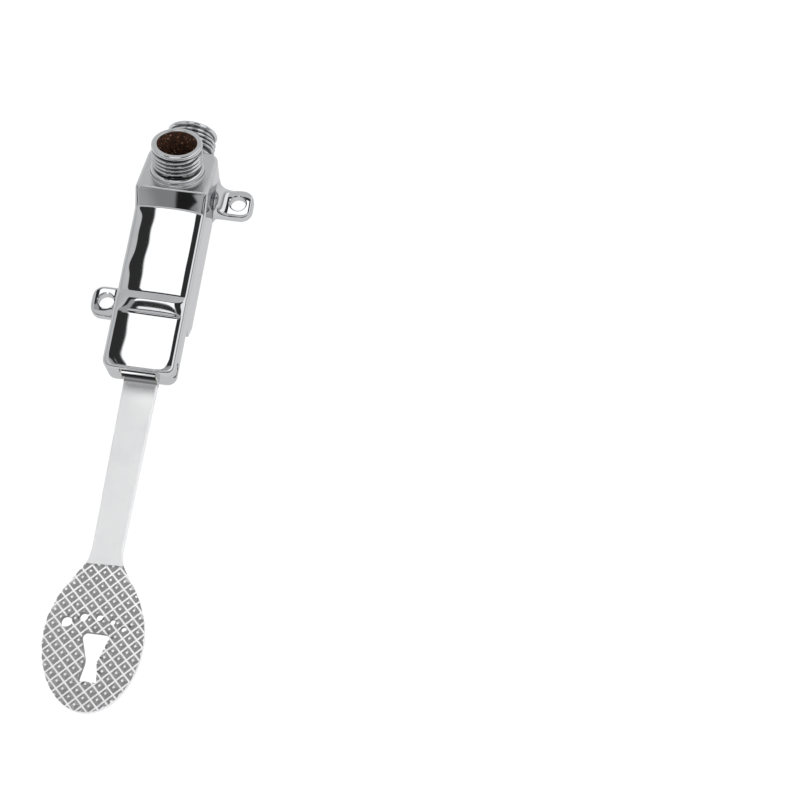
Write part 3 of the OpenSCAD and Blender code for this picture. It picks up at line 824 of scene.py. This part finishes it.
    def hood_cutter(self) -> bmesh.types.BMesh:
        """Make the block that opens the slot between the cheeks.

        Returns:
            The cutter's mesh.
        """
        tool = bmesh.new()
        bmesh.ops.create_cube(tool, size=1.0)
        roof, spare = self.panel_z - self.hood_roof, 5
        length = self.front_y - self.hood_end_y + 2
        bmesh.ops.scale(tool, vec=(self.slot_w, length, roof + spare), verts=tool.verts)
        bmesh.ops.translate(tool, vec=(0, self.front_y - length / 2, (roof - spare) / 2), verts=tool.verts)
        upper = [edge for edge in tool.edges if all(corner.co.z > roof - 0.1 for corner in edge.verts)
                 and abs(edge.verts[0].co.y - edge.verts[1].co.y) > 1]
        bmesh.ops.bevel(tool, geom=upper, offset=self.slot_edge, offset_type="OFFSET", segments=3, profile=0.5,
                        affect="EDGES", material=-1)
        return tool

    def core_cutter(self, outline: Sequence[Point], place: Matrix) -> bmesh.types.BMesh:
        """Turn a casting core.

        Args:
            outline: Radius and height of its steps.
            place: Where its axis goes.

        Returns:
            The cutter's mesh.
        """
        tool = bmesh.new()
        turn(tool, [(0.0, outline[0][1]), *outline, (0.0, outline[-1][1])], 64)
        bmesh.ops.transform(tool, matrix=place, verts=tool.verts)
        return tool

    def outlet_axis(self) -> Matrix:
        """Give the outlet's axis, which stands square on the port block's face."""
        return axis_at(self.outlet_foot, -math.radians(self.face_slope))

    def build(self) -> None:
        """Loft the casting, cut its bores and fit it."""
        piece = Piece("valve_casting", Body.VALVE, Slot.BODY, BLOCK_CHROME, ("valve_body",), 38.0)
        mesh = bmesh.new()
        loft(mesh, [self.section(y) for y in self.stations()])
        made = piece.block(mesh)
        cut(made, self.hood_cutter(), CHROME)
        cut(made, self.core_cutter(self.pin_core, HINGE_AXIS), CHROME)
        cut(made, self.core_cutter(self.core, STEM_AXIS), RAW)
        cut(made, self.core_cutter(self.outlet_core, self.outlet_axis()), RAW)
        piece.complete(made)


@dataclass
class Spigot:
    """A threaded spigot with its collar, rounded rim and raw bore."""

    name: str
    place: Matrix
    foot_z: float = -1.5
    foot_flare: float = 0.35
    collar_r: float = 11.2
    collar_h: float = 2.6
    collar_edge_r: float = 1.3
    mouth_r: float = 0.45
    neck: tuple[Point, ...] = ((0.4, 0.0), (0.12, 0.12), (0.0, 0.5))
    root_r: float = 9.3
    crest_r: float = 10.4775
    pitch: float = 1.814
    flank: tuple[Point, ...] = ((-0.15, -0.86), (0.22, -0.66), (0.9, -0.36), (1.0, -0.22), (1.0, 0.22), (0.9, 0.36),
                                (0.22, 0.66), (-0.15, 0.86))
    flank_w: float = 0.95
    run_in: float = 1.0
    run_out: float = 0.75
    fade_steps: int = 14
    bore_r: float = 8.15
    length: float = 13.9
    rim_h: float = 2.1

    def outline(self) -> list[Point]:
        """Draw the spigot's outline, from its root round the rim and back down the bore.

        Returns:
            Radius and height of each corner.
        """
        foot, turn_r, mouth_r = self.foot_flare, self.collar_edge_r, self.mouth_r
        flare = arc((self.collar_r + foot, foot), foot, -QUARTER, -math.pi, 6)
        collar = arc((self.collar_r - turn_r, self.collar_h - turn_r), turn_r, 0, QUARTER, 10)
        neck = [(self.root_r + out, self.collar_h + up) for out, up in self.neck]
        neck.append((self.root_r, self.length - self.rim_h - self.neck[-1][1]))
        lip = self.rim_h / 2
        rim = arc((self.crest_r - lip, self.length - lip), lip, -QUARTER, QUARTER, 12)
        mouth = arc((self.bore_r + mouth_r, self.length - mouth_r), mouth_r, QUARTER, math.pi, 4)
        bore = [(self.bore_r, height) for height in (self.length - 3, self.length - 7, 0.0, self.foot_z)]
        return [(self.collar_r + foot, self.foot_z), *flare, *collar, *neck, *rim, *mouth, *bore]

    def thread(self) -> list[Ring]:
        """Work out the sections of the thread's ridge along its helix.

        Returns:
            One section every ten degrees, fading out at both ends.
        """
        start = self.collar_h + self.run_in
        stop = self.length - self.rim_h - self.run_out
        turns = (stop - start) / self.pitch
        steps = round(turns * 36)
        deep, wide = self.crest_r - self.root_r, self.pitch / 2 / self.flank_w
        rings: list[Ring] = []
        for k in range(steps + 1):
            angle = TURN * turns * k / steps
            fade = smoothstep(0, self.fade_steps, k) * smoothstep(0, self.fade_steps, steps - k)
            way = Vector((math.cos(angle), math.sin(angle), 0))
            middle = Vector((0, 0, start + (stop - start) * k / steps))
            outs = [self.root_r + deep * (rise * fade if rise > 0 else rise) for rise, _ in self.flank]
            rings.append([middle + out * way + Vector((0, 0, off * wide)) for out, (_, off) in zip(outs, self.flank)])
        return rings

    def build(self) -> None:
        """Turn the spigot, wind its thread and fit it."""
        piece = Piece(self.name, Body.VALVE, Slot.BODY, THREAD_CHROME, ("valve_body",), 42.0)
        mesh = bmesh.new()
        loft(mesh, self.thread())
        turn(mesh, self.outline(), 96)
        # depth in the thread's grooves, which sets the painted shade there
        grooves = mesh.verts.layers.float.new("groove")
        for corner in mesh.verts:
            out = math.hypot(corner.co.x, corner.co.y)
            threaded = self.collar_h - 0.1 < corner.co.z < self.length - self.rim_h + 0.2
            deep = 1 - smoothstep(self.root_r + 0.1, self.crest_r - 0.35, out)
            corner[grooves] = deep if threaded and out > self.root_r - 0.5 else 0.0
        for face in mesh.faces:
            middle = face.calc_center_median()
            inside = math.hypot(middle.x, middle.y) < self.bore_r + 0.02
            face.material_index = 1 if inside and middle.z < self.length - 0.6 else 0
        bmesh.ops.transform(mesh, matrix=self.place, verts=mesh.verts)
        piece.complete(piece.block(mesh, RAW))


@dataclass
class FloorLug:
    """One of the two lugs that hold the valve on the floor."""

    name: str
    quarter: float
    hole_x: float = 23.2
    hole_y: float = 25.9
    hole_r: float = 3.3
    hole_chamfer: float = 0.6
    end: float = 6.3
    width: float = 13.4
    thick: float = 4.2
    corner_r: float = 4.9
    root_r: tuple[float, float] = (1.6, 3.2)
    fillet_w: float = 6.4
    fillet_h: float = 9.5
    fillet_fade: tuple[float, float] = (0.45, 8.0)
    side_x: float = 13.86
    edge_r: float = 1.5
    edge_growth: float = 0.7
    edge_limits: tuple[float, float] = (0.9, 0.75)
    foot_edge: float = 0.2
    sunk_x: tuple[float, float] = (12.0, 13.0)
    flat_x: float = 20.7
    dome: float = 0.195
    dome_r: float = 5.45
    dome_set: float = 2.0
    dome_taper: float = 0.05
    dome_power: float = 2.5

    def face(self, x: float, v: float) -> float:
        """Give the height of the lug's upper side.

        Args:
            x: Distance from the body's middle.
            v: Distance along the body from the hole.

        Returns:
            The height, with the worn dome and the fillet that climbs the body.
        """
        out = max(x - self.hole_x, 0.0)
        up = max(v + self.dome_set, 0.0) * (1 + self.dome_taper * max(self.hole_x - x, 0.0))
        far = (out ** self.dome_power + up ** self.dome_power) ** (1 / self.dome_power)
        away = min(max((x - self.side_x) / self.fillet_w, 0.0), 1.0)
        climb = self.fillet_h * (1 - math.sqrt(1 - (1 - away) ** 2))
        fade, wide = self.fillet_fade
        climb *= 1 - fade * min((v / wide) ** 2, 1.0)
        return self.thick - self.dome * (far / self.dome_r) ** 4 * away + climb

    def half_section(self, x: float, side: int) -> Ring:
        """Work out one half of a section of the lug.

        Args:
            x: Distance from the body's middle.
            side: 1 for the half towards +Y, -1 for the other.

        Returns:
            The corners, from the foot over the edge to the middle of the upper side.
        """
        outer = self.hole_x + self.end - x
        half = self.width / 2 - round_off(outer, self.corner_r)
        half += round_off(max(x - self.side_x, 0.0), self.root_r[side > 0])
        sink = round_off(outer, self.edge_r)
        climb = self.face(x, 0.0) - self.thick
        edge = self.edge_r + self.edge_growth * max(climb, 0.0)
        edge = min(edge, half * self.edge_limits[0], (self.thick + climb - sink) * self.edge_limits[1])
        flat = half - edge
        lean = 0.0
        for _ in range(3):
            lean = lean_at(lambda v: self.face(x, side * v), flat)
            flat = half - edge + edge * math.sin(lean)
        high = self.face(x, side * flat) - sink - edge * math.cos(lean)
        foot = self.foot_edge
        ring = [(half - foot, 0.0), (half, foot), *((half, foot + (high - foot) * k / 4) for k in range(1, 4))]
        ring += arc((half - edge, high), edge, 0, QUARTER - lean, 10)
        ring += [(v, self.face(x, side * v) - sink) for v in (flat * (1 - k / 12) for k in range(1, 13))]
        return [Vector((x, side * v, z)) for v, z in ring]

    def section(self, x: float) -> Ring:
        """Join both halves of a section of the lug, from one foot over the top to the other."""
        return self.half_section(x, 1) + self.half_section(x, -1)[-2::-1]

    def build(self) -> None:
        """Loft the lug, drill it and fit it."""
        piece = Piece(self.name, Body.VALVE, Slot.BODY, CHROME, ("valve_body",), 38.0)
        steps = [*self.sunk_x, *(self.side_x + self.fillet_w * (k / 20) ** 1.7 for k in range(21))]
        tip = self.hole_x + self.end
        steps += [self.flat_x + (tip - self.corner_r - self.flat_x) * k / 8 for k in range(9)]
        steps += [tip - self.corner_r * (1 - math.sin(QUARTER * k / 14)) for k in range(1, 15)]
        mesh = bmesh.new()
        loft(mesh, [self.section(x) for x in sorted(set(steps))])
        bmesh.ops.translate(mesh, vec=(0, self.hole_y, 0), verts=mesh.verts)
        made = piece.block(mesh)
        drill = bmesh.new()
        mouth = self.thick - self.hole_chamfer
        wide = self.hole_r + self.hole_chamfer + 0.05
        turn(drill, [(0, -1), (self.hole_r, -1), (self.hole_r, mouth), (wide, self.thick + 0.05),
                     (wide, 18), (0, 18)], 64)
        bmesh.ops.translate(drill, vec=(self.hole_x, self.hole_y, 0), verts=drill.verts)
        cut(made, drill, CHROME)
        made.data.transform(Matrix.Rotation(self.quarter, 4, "Z"))
        piece.complete(made)


@dataclass
class RefinedSolid:
    """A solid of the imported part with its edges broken, as casting or turning leaves them."""

    piece: Piece
    edge: float
    angle: float = 24.0
    segments: int = 2
    weld: float = 0.002
    flat_angle: float = 0.6
    more: tuple[Finish, ...] = ()

    def dress(self, mesh: bmesh.types.BMesh) -> None:
        """Leave all faces in the first finish; a kind with more finishes spreads them."""

    def build(self) -> None:
        """Copy the solid, join its triangles, break its edges and fit it."""
        mesh = bmesh.new()
        mesh.from_mesh(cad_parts[self.piece.stands_for[0]].data)
        bmesh.ops.scale(mesh, vec=(1 / MM,) * 3, verts=mesh.verts)
        bmesh.ops.remove_doubles(mesh, verts=mesh.verts, dist=self.weld)
        bmesh.ops.dissolve_limit(mesh, angle_limit=math.radians(self.flat_angle), verts=mesh.verts, edges=mesh.edges,
                                 use_dissolve_boundaries=False)
        if self.edge > 0:
            sharp = [edge for edge in mesh.edges
                     if len(edge.link_faces) == 2 and edge.calc_face_angle(0.0) > math.radians(self.angle)]
            bmesh.ops.bevel(mesh, geom=sharp, offset=self.edge, offset_type="OFFSET", segments=self.segments,
                            profile=0.5, affect="EDGES", material=-1, clamp_overlap=True)
        for face in mesh.faces:
            face.material_index = 0
        self.dress(mesh)
        made = self.piece.block(mesh, *self.more)
        stale = made.data.attributes.get("custom_normal")
        if stale:
            made.data.attributes.remove(stale)
        self.piece.complete(made)
        if not self.piece.faceted:
            shading = made.modifiers.new("even_shading", "WEIGHTED_NORMAL")
            shading.keep_sharp = True


@dataclass
class PedalLever(RefinedSolid):
    """The pedal lever: flat faces kept flat, painted shade on the stud flanks and the footprint's walls, bright
    valleys and tips between them.
    """

    low: tuple[float, float] = (-13.0, -191.0)
    high: tuple[float, float] = (14.5, -156.0)
    sole_y: float = -138.5
    valley_z: float = 15.4
    tip_area: float = 1.2
    plain_area: float = 20.0
    level: float = 0.999
    wall: float = 0.25
    flank: tuple[float, float] = (0.3, 0.97)

    def dress(self, mesh: bmesh.types.BMesh) -> None:
        """Spread the finishes: painted shade on the footprint's walls and the stud flanks, bright valleys and stud
        tips.

        Args:
            mesh: The lever's mesh, in millimetres.
        """
        for face in mesh.faces:
            middle, up, area = face.calc_center_median(), face.normal.z, face.calc_area()
            inside = all(low < at < high for low, at, high in zip(self.low, middle.xy, self.high))
            on_sole = middle.y < self.sole_y
            face.smooth = area < self.plain_area and abs(up) < self.level
            # painted shade on the walls inside the footprint
            if inside and abs(up) < self.wall:
                face.material_index = 1
            # painted shade on the studs' sloping flanks
            elif on_sole and self.flank[0] < up < self.flank[1]:
                face.material_index = 2
                face.smooth = False
            elif on_sole and up > self.flank[1] and (middle.z < self.valley_z or area < self.tip_area):
                face.material_index = 3
        bmesh.ops.triangulate(mesh, faces=mesh.faces[:], quad_method="BEAUTY", ngon_method="BEAUTY")


@dataclass
class TurnedSet:
    """Rings and bars that are turned about one axis."""

    piece: Piece
    place: Matrix
    outlines: tuple[tuple[Point, ...], ...]
    edge: float = 0.1

    @staticmethod
    def ring(low: float, high: float, inner: float, outer: float) -> tuple[Point, ...]:
        """Draw a plain ring's outline: inner radius, outer radius and two heights."""
        return ((inner, low), (outer, low), (outer, high), (inner, high))

    def softened(self, outline: Sequence[Point]) -> list[Point]:
        """Break each corner of an outline by a small chamfer.

        Args:
            outline: Radius and height of each corner.

        Returns:
            The outline with two corners in place of each, except on the axis.
        """
        soft: list[Point] = []
        count = len(outline)
        for place, corner in enumerate(outline):
            here = Vector(corner)
            if here.x < 1e-6:
                soft.append(corner)
                continue
            for other in (outline[place - 1], outline[(place + 1) % count]):
                way = Vector(other) - here
                step = way.normalized() * min(self.edge, way.length / 3)
                soft.append((here.x + step.x, here.y + step.y))
        return soft

    def build(self) -> None:
        """Turn the outlines, lay them on their axis and fit them."""
        mesh = bmesh.new()
        for outline in self.outlines:
            turn(mesh, self.softened(outline), 64)
        bmesh.ops.transform(mesh, matrix=self.place, verts=mesh.verts)
        self.piece.complete(self.piece.block(mesh))


@dataclass
class ReturnSpring:
    """The wire spring between the disc and the retainer, which shortens as the stem moves."""

    low_y: float = 40.4
    high_y: float = 49.0
    coil_r: float = 5.45
    wire_r: float = 0.5
    coils: float = 4.5
    gap: float = 0.05
    travel: float = 0.77

    def build(self) -> None:
        """Wind the wire and fit it."""
        start = self.low_y + self.gap + self.wire_r
        rise = self.high_y - self.low_y - 2 * (self.gap + self.wire_r)
        steps = round(self.coils * 36)
        rings: list[Ring] = []
        for k in range(steps + 1):
            angle = TURN * self.coils * k / steps
            out = Vector((math.cos(angle), 0, math.sin(angle)))
            middle = Vector((0, start + rise * k / steps, STEM_Z)) + out * self.coil_r
            rings.append([middle + (out * math.cos(a) + Vector((0, math.sin(a), 0))) * self.wire_r
                          for a in (TURN * side / 12 for side in range(12))])
        mesh = bmesh.new()
        loft(mesh, rings)
        piece = small_piece("return_spring_wire", Body.VALVE, Slot.SPRING, "return_spring", 50.0)
        made = piece.complete(piece.block(mesh))
        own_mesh(made)


class ValveTrain:
    """The stem with its disc and cap, the seat, the gland and the spring's retainer."""

    @staticmethod
    def turned(name: str, body: Body, slot: Slot, node: str, *outlines: tuple[Point, ...]) -> TurnedSet:
        """Describe a piece that is turned about the stem's axis."""
        return TurnedSet(small_piece(name, body, slot, node, 36.0), STEM_AXIS, outlines)

    @staticmethod
    def milled(name: str, body: Body, node: str, edge: float) -> RefinedSolid:
        """Describe a brass piece with flats or notches for a spanner."""
        return RefinedSolid(small_piece(name, body, Slot.BRASS, node), edge)

    def build(self) -> None:
        """Build the pieces of the train from the gland to the retainer."""
        turned, milled, ring = self.turned, self.milled, TurnedSet.ring
        fixed, moving = Body.VALVE, Body.STEM
        for part in (
            turned("packing_rings", fixed, Slot.RUBBER, "gland_packing",
                   ring(-32.2, -30.63, 2.55, 4.57), ring(-30.6, -29.03, 2.55, 4.57)),
            turned("gland_washer_ring", fixed, Slot.BRASS, "gland_washer", ring(-33.0, -32.2, 2.55, 4.57)),
            turned("stem_wiper_ring", fixed, Slot.RUBBER, "stem_wiper",
                   ((2.55, -41.97), (2.9, -41.97), (3.5, -41.7), (3.5, -40.4), (2.55, -40.4))),
            milled("gland_nut_hex", fixed, "gland_nut", 0.2),
            turned("seat_gasket_ring", fixed, Slot.FIBRE, "seat_gasket", ring(31.0, 31.8, 6.0, 8.12)),
            turned("seat_insert_ring", fixed, Slot.BRASS, "seat_insert",
                   ((5.2, 31.8), (8.12, 31.8), (8.12, 35.8), (6.0, 35.8), (5.9, 36.4), (5.2, 36.4))),
            turned("stem_rod", moving, Slot.STEEL, "valve_stem",
                   ((0.0, -50.2), (2.5, -50.2), (2.5, 34.9), (3.5, 34.9), (3.5, 36.4), (2.0, 36.4),
                    (2.0, 44.0), (0.0, 44.0))),
            turned("push_cap_shell", moving, Slot.ACETAL, "push_cap",
                   ((0.0, -51.2), (3.1, -51.2), (3.6, -50.7), (3.6, -47.2), (2.53, -47.2), (2.53, -50.2),
                    (0.0, -50.2))),
            turned("seat_washer_disc", moving, Slot.RUBBER, "seat_washer", ring(36.4, 38.9, 2.03, 6.7)),
            turned("disc_holder_plate", moving, Slot.BRASS, "disc_holder", ring(38.9, 40.4, 2.03, 6.9)),
            turned("lock_washer_ring", moving, Slot.STEEL, "lock_washer", ring(40.4, 41.0, 2.03, 3.5)),
            milled("disc_nut_hex", moving, "disc_nut", 0.15),
            milled("spring_retainer_ring", fixed, "spring_retainer", 0.15),
            ReturnSpring(),
        ):
            part.build()


@dataclass
class HingeSet:
    """The pin with its bushes and thrust washers."""

    pin_r: float = 3.0
    pin_half: float = 14.01
    bore_r: float = 3.05
    lever_half: float = 6.8
    side_gap: float = 0.05
    washer_t: float = 0.6
    washer_r: float = 4.9
    bush_gap: float = 0.8
    bush_r: float = 3.97

    @staticmethod
    def pair(low: float, high: float, inner: float, outer: float) -> tuple[tuple[Point, ...], ...]:
        """Draw a ring and its fellow on the other side of the lever."""
        return TurnedSet.ring(low, high, inner, outer), TurnedSet.ring(-high, -low, inner, outer)

    def build(self) -> None:
        """Turn the hinge's pieces and fit them."""
        half = self.pin_half
        rise = ((0.0, 0.42), (0.7, 0.39), (1.3, 0.30), (1.9, 0.14), (2.35, -0.08), (2.7, -0.4), (self.pin_r, -0.9))
        pin = (*((out, -half - up) for out, up in rise), *((out, half + up) for out, up in rise[::-1]))
        low = self.lever_half + self.side_gap
        washers = self.pair(low, low + self.washer_t, self.bore_r, self.washer_r)
        bushes = self.pair(self.bush_gap, self.lever_half, self.bore_r, self.bush_r)
        for piece, outlines, edge in (
            (small_piece("pivot_pin_bar", Body.VALVE, Slot.STEEL, "pivot_pin"), (pin,), 0.06),
            (small_piece("thrust_washer_pair", Body.VALVE, Slot.ACETAL, "thrust_washers"), washers, 0.08),
            (small_piece("pivot_bush_pair", Body.PEDAL, Slot.ACETAL, "pivot_bushes"), bushes, 0.08),
        ):
            TurnedSet(piece, HINGE_AXIS, outlines, edge).build()


@dataclass(frozen=True)
class LightPanel:
    """A soft-edged patch of the studio, placed by its tilt from straight up towards +X and +Y."""

    side: tuple[float, float]
    ahead: tuple[float, float]
    glow: float
    soft: float = 1.5
    point: float = 0.0
    slant: float = 0.0


@dataclass
class Studio:
    """The camera, the pale floor and the soft light of the studio."""

    eye: tuple[float, float, float] = (140.95, -319.05, 717.27)
    target: tuple[float, float, float] = (103.06, -50.83, 0.0)
    view_angle: float = 24.0
    floor_half: float = 3000.0
    horizon: float = 0.6
    zenith: float = 0.88
    panels: tuple[LightPanel, ...] = tuple(LightPanel(*row) for row in (
        ((-90, 90), (55, 90), 0.80, 6),
        ((-90, 90), (-90, -71), 0.03, 1.5),
        ((-42, -8), (-72, -62.5), 1.9, 1.0),
        ((24, 66), (-62, -55), 0.03, 2),
        ((-45, 30), (-63, -46), 0.36, 1.5),
        ((-48, -25), (-63, -46), 0.55, 3.0),
        ((-9, 28), (-63, -46), 0.62, 1.5),
        ((-16.3, -8.8), (-62.6, -48.6), 0.02, 0.6, 1.0, 0.4),
        ((36, 64), (-30, 75), 1.45, 2.5),
        ((68, 79), (-60, 75), 0.4, 3),
        ((-29.5, 34), (-5, 43), 0.045, 1.0),
        ((-31, -17), (-7, 12), 0.55, 0.8),
        ((-21.8, -16.5), (11, 15), 0.55, 0.6),
        ((7, 36), (-7, 12), 0.55, 0.8),
        ((7, 10.8), (11, 15.2), 0.55, 0.6),
        ((-14.2, 7), (3, 8), 1.6, 0.5),
        ((-17, 7), (13, 34.5), 2.0, 0.6),
    ))

    def camera(self) -> None:
        """Set up the camera at the viewing angle."""
        data = bpy.data.cameras.new("camera")
        data.angle = math.radians(self.view_angle)
        data.clip_start = 0.01
        data.clip_end = 50.0
        made = put("camera", data)
        eye, target = Vector(self.eye) * MM, Vector(self.target) * MM
        made.location = eye
        made.rotation_euler = (target - eye).to_track_quat("-Z", "Y").to_euler()
        bpy.context.scene.camera = made

    def floor(self) -> None:
        """Lay the pale floor."""
        mesh = bmesh.new()
        bmesh.ops.create_grid(mesh, x_segments=4, y_segments=4, size=self.floor_half * MM)
        made = put_mesh("floor", mesh, PaleFloor("pale_floor"))

    def light(self) -> None:
        """Paint the studio's soft light by direction, with plain white behind the object."""
        world = bpy.data.worlds.new("studio")
        bpy.context.scene.world = world
        world.use_nodes = True
        sheet = NodeSheet(world.node_tree)
        way = sheet.add("ShaderNodeTexCoord").outputs["Generated"]
        *flat, up = sheet.split(way)
        level = sheet.spread(up, 0.1, 0.8)
        tilts = [sheet.math("DEGREES", sheet.math("ARCTAN2", axis, sheet.math("MAXIMUM", up, 1e-4))) for axis in flat]
        glow = sheet.mix(level, (self.horizon,) * 3, (self.zenith,) * 3)
        for panel in self.panels:
            mask = None
            middle = (panel.ahead[0] + panel.ahead[1]) / 2
            off = sheet.math("SUBTRACT", tilts[1], middle)
            across = sheet.math("MULTIPLY_ADD", off, -panel.slant, tilts[0])
            pointed = sheet.math("MULTIPLY_ADD", sheet.math("ABSOLUTE", off), panel.point, across)
            sides = ((across, panel.side[0], 0.0, 1.0), (pointed, panel.side[1], 1.0, 0.0),
                     (tilts[1], panel.ahead[0], 0.0, 1.0), (tilts[1], panel.ahead[1], 1.0, 0.0))
            for tilt, limit, first, last in sides:
                if abs(limit) >= 90:
                    continue
                part = sheet.spread(tilt, limit - panel.soft, limit + panel.soft, first, last)
                mask = part if mask is None else sheet.math("MULTIPLY", mask, part)
            glow = sheet.mix(mask, glow, (panel.glow,) * 3)
        seen = sheet.add("ShaderNodeLightPath").outputs["Is Camera Ray"]
        color = sheet.mix(seen, glow, (1.0, 1.0, 1.0))
        back = sheet.add("ShaderNodeBackground", {}, {"Color": color, "Strength": 1.0})
        sheet.add("ShaderNodeOutputWorld", {}, {"Surface": back.outputs[0]})

    def build(self) -> None:
        """Set up the camera, floor and light."""
        bpy.context.scene.view_settings.view_transform = "Standard"
        self.camera()
        self.floor()
        self.light()


def main() -> None:
    """Build the part piece by piece, then the studio round it."""
    logging.basicConfig(level=logging.INFO, format="%(name)s: %(message)s")
    casting = BodyCasting()
    casting.build()
    Spigot("outlet_spigot", casting.outlet_axis()).build()
    Spigot("inlet_spigot", axis_at((0, casting.rear_y, STEM_Z), -QUARTER)).build()
    FloorLug("floor_lug_right", 0.0).build()
    FloorLug("floor_lug_left", math.pi).build()
    HingeSet().build()
    ValveTrain().build()
    PedalLever(Piece("pedal_lever_casting", Body.PEDAL, Slot.LEVER, LEVER_CHROME, ("pedal_lever",), 30.0, True),
               0.0, more=(WALL_SHADE_CHROME, STUD_SHADE_CHROME, WORN_CHROME)).build()
    Studio().build()


if __name__ == "__main__":
    main()
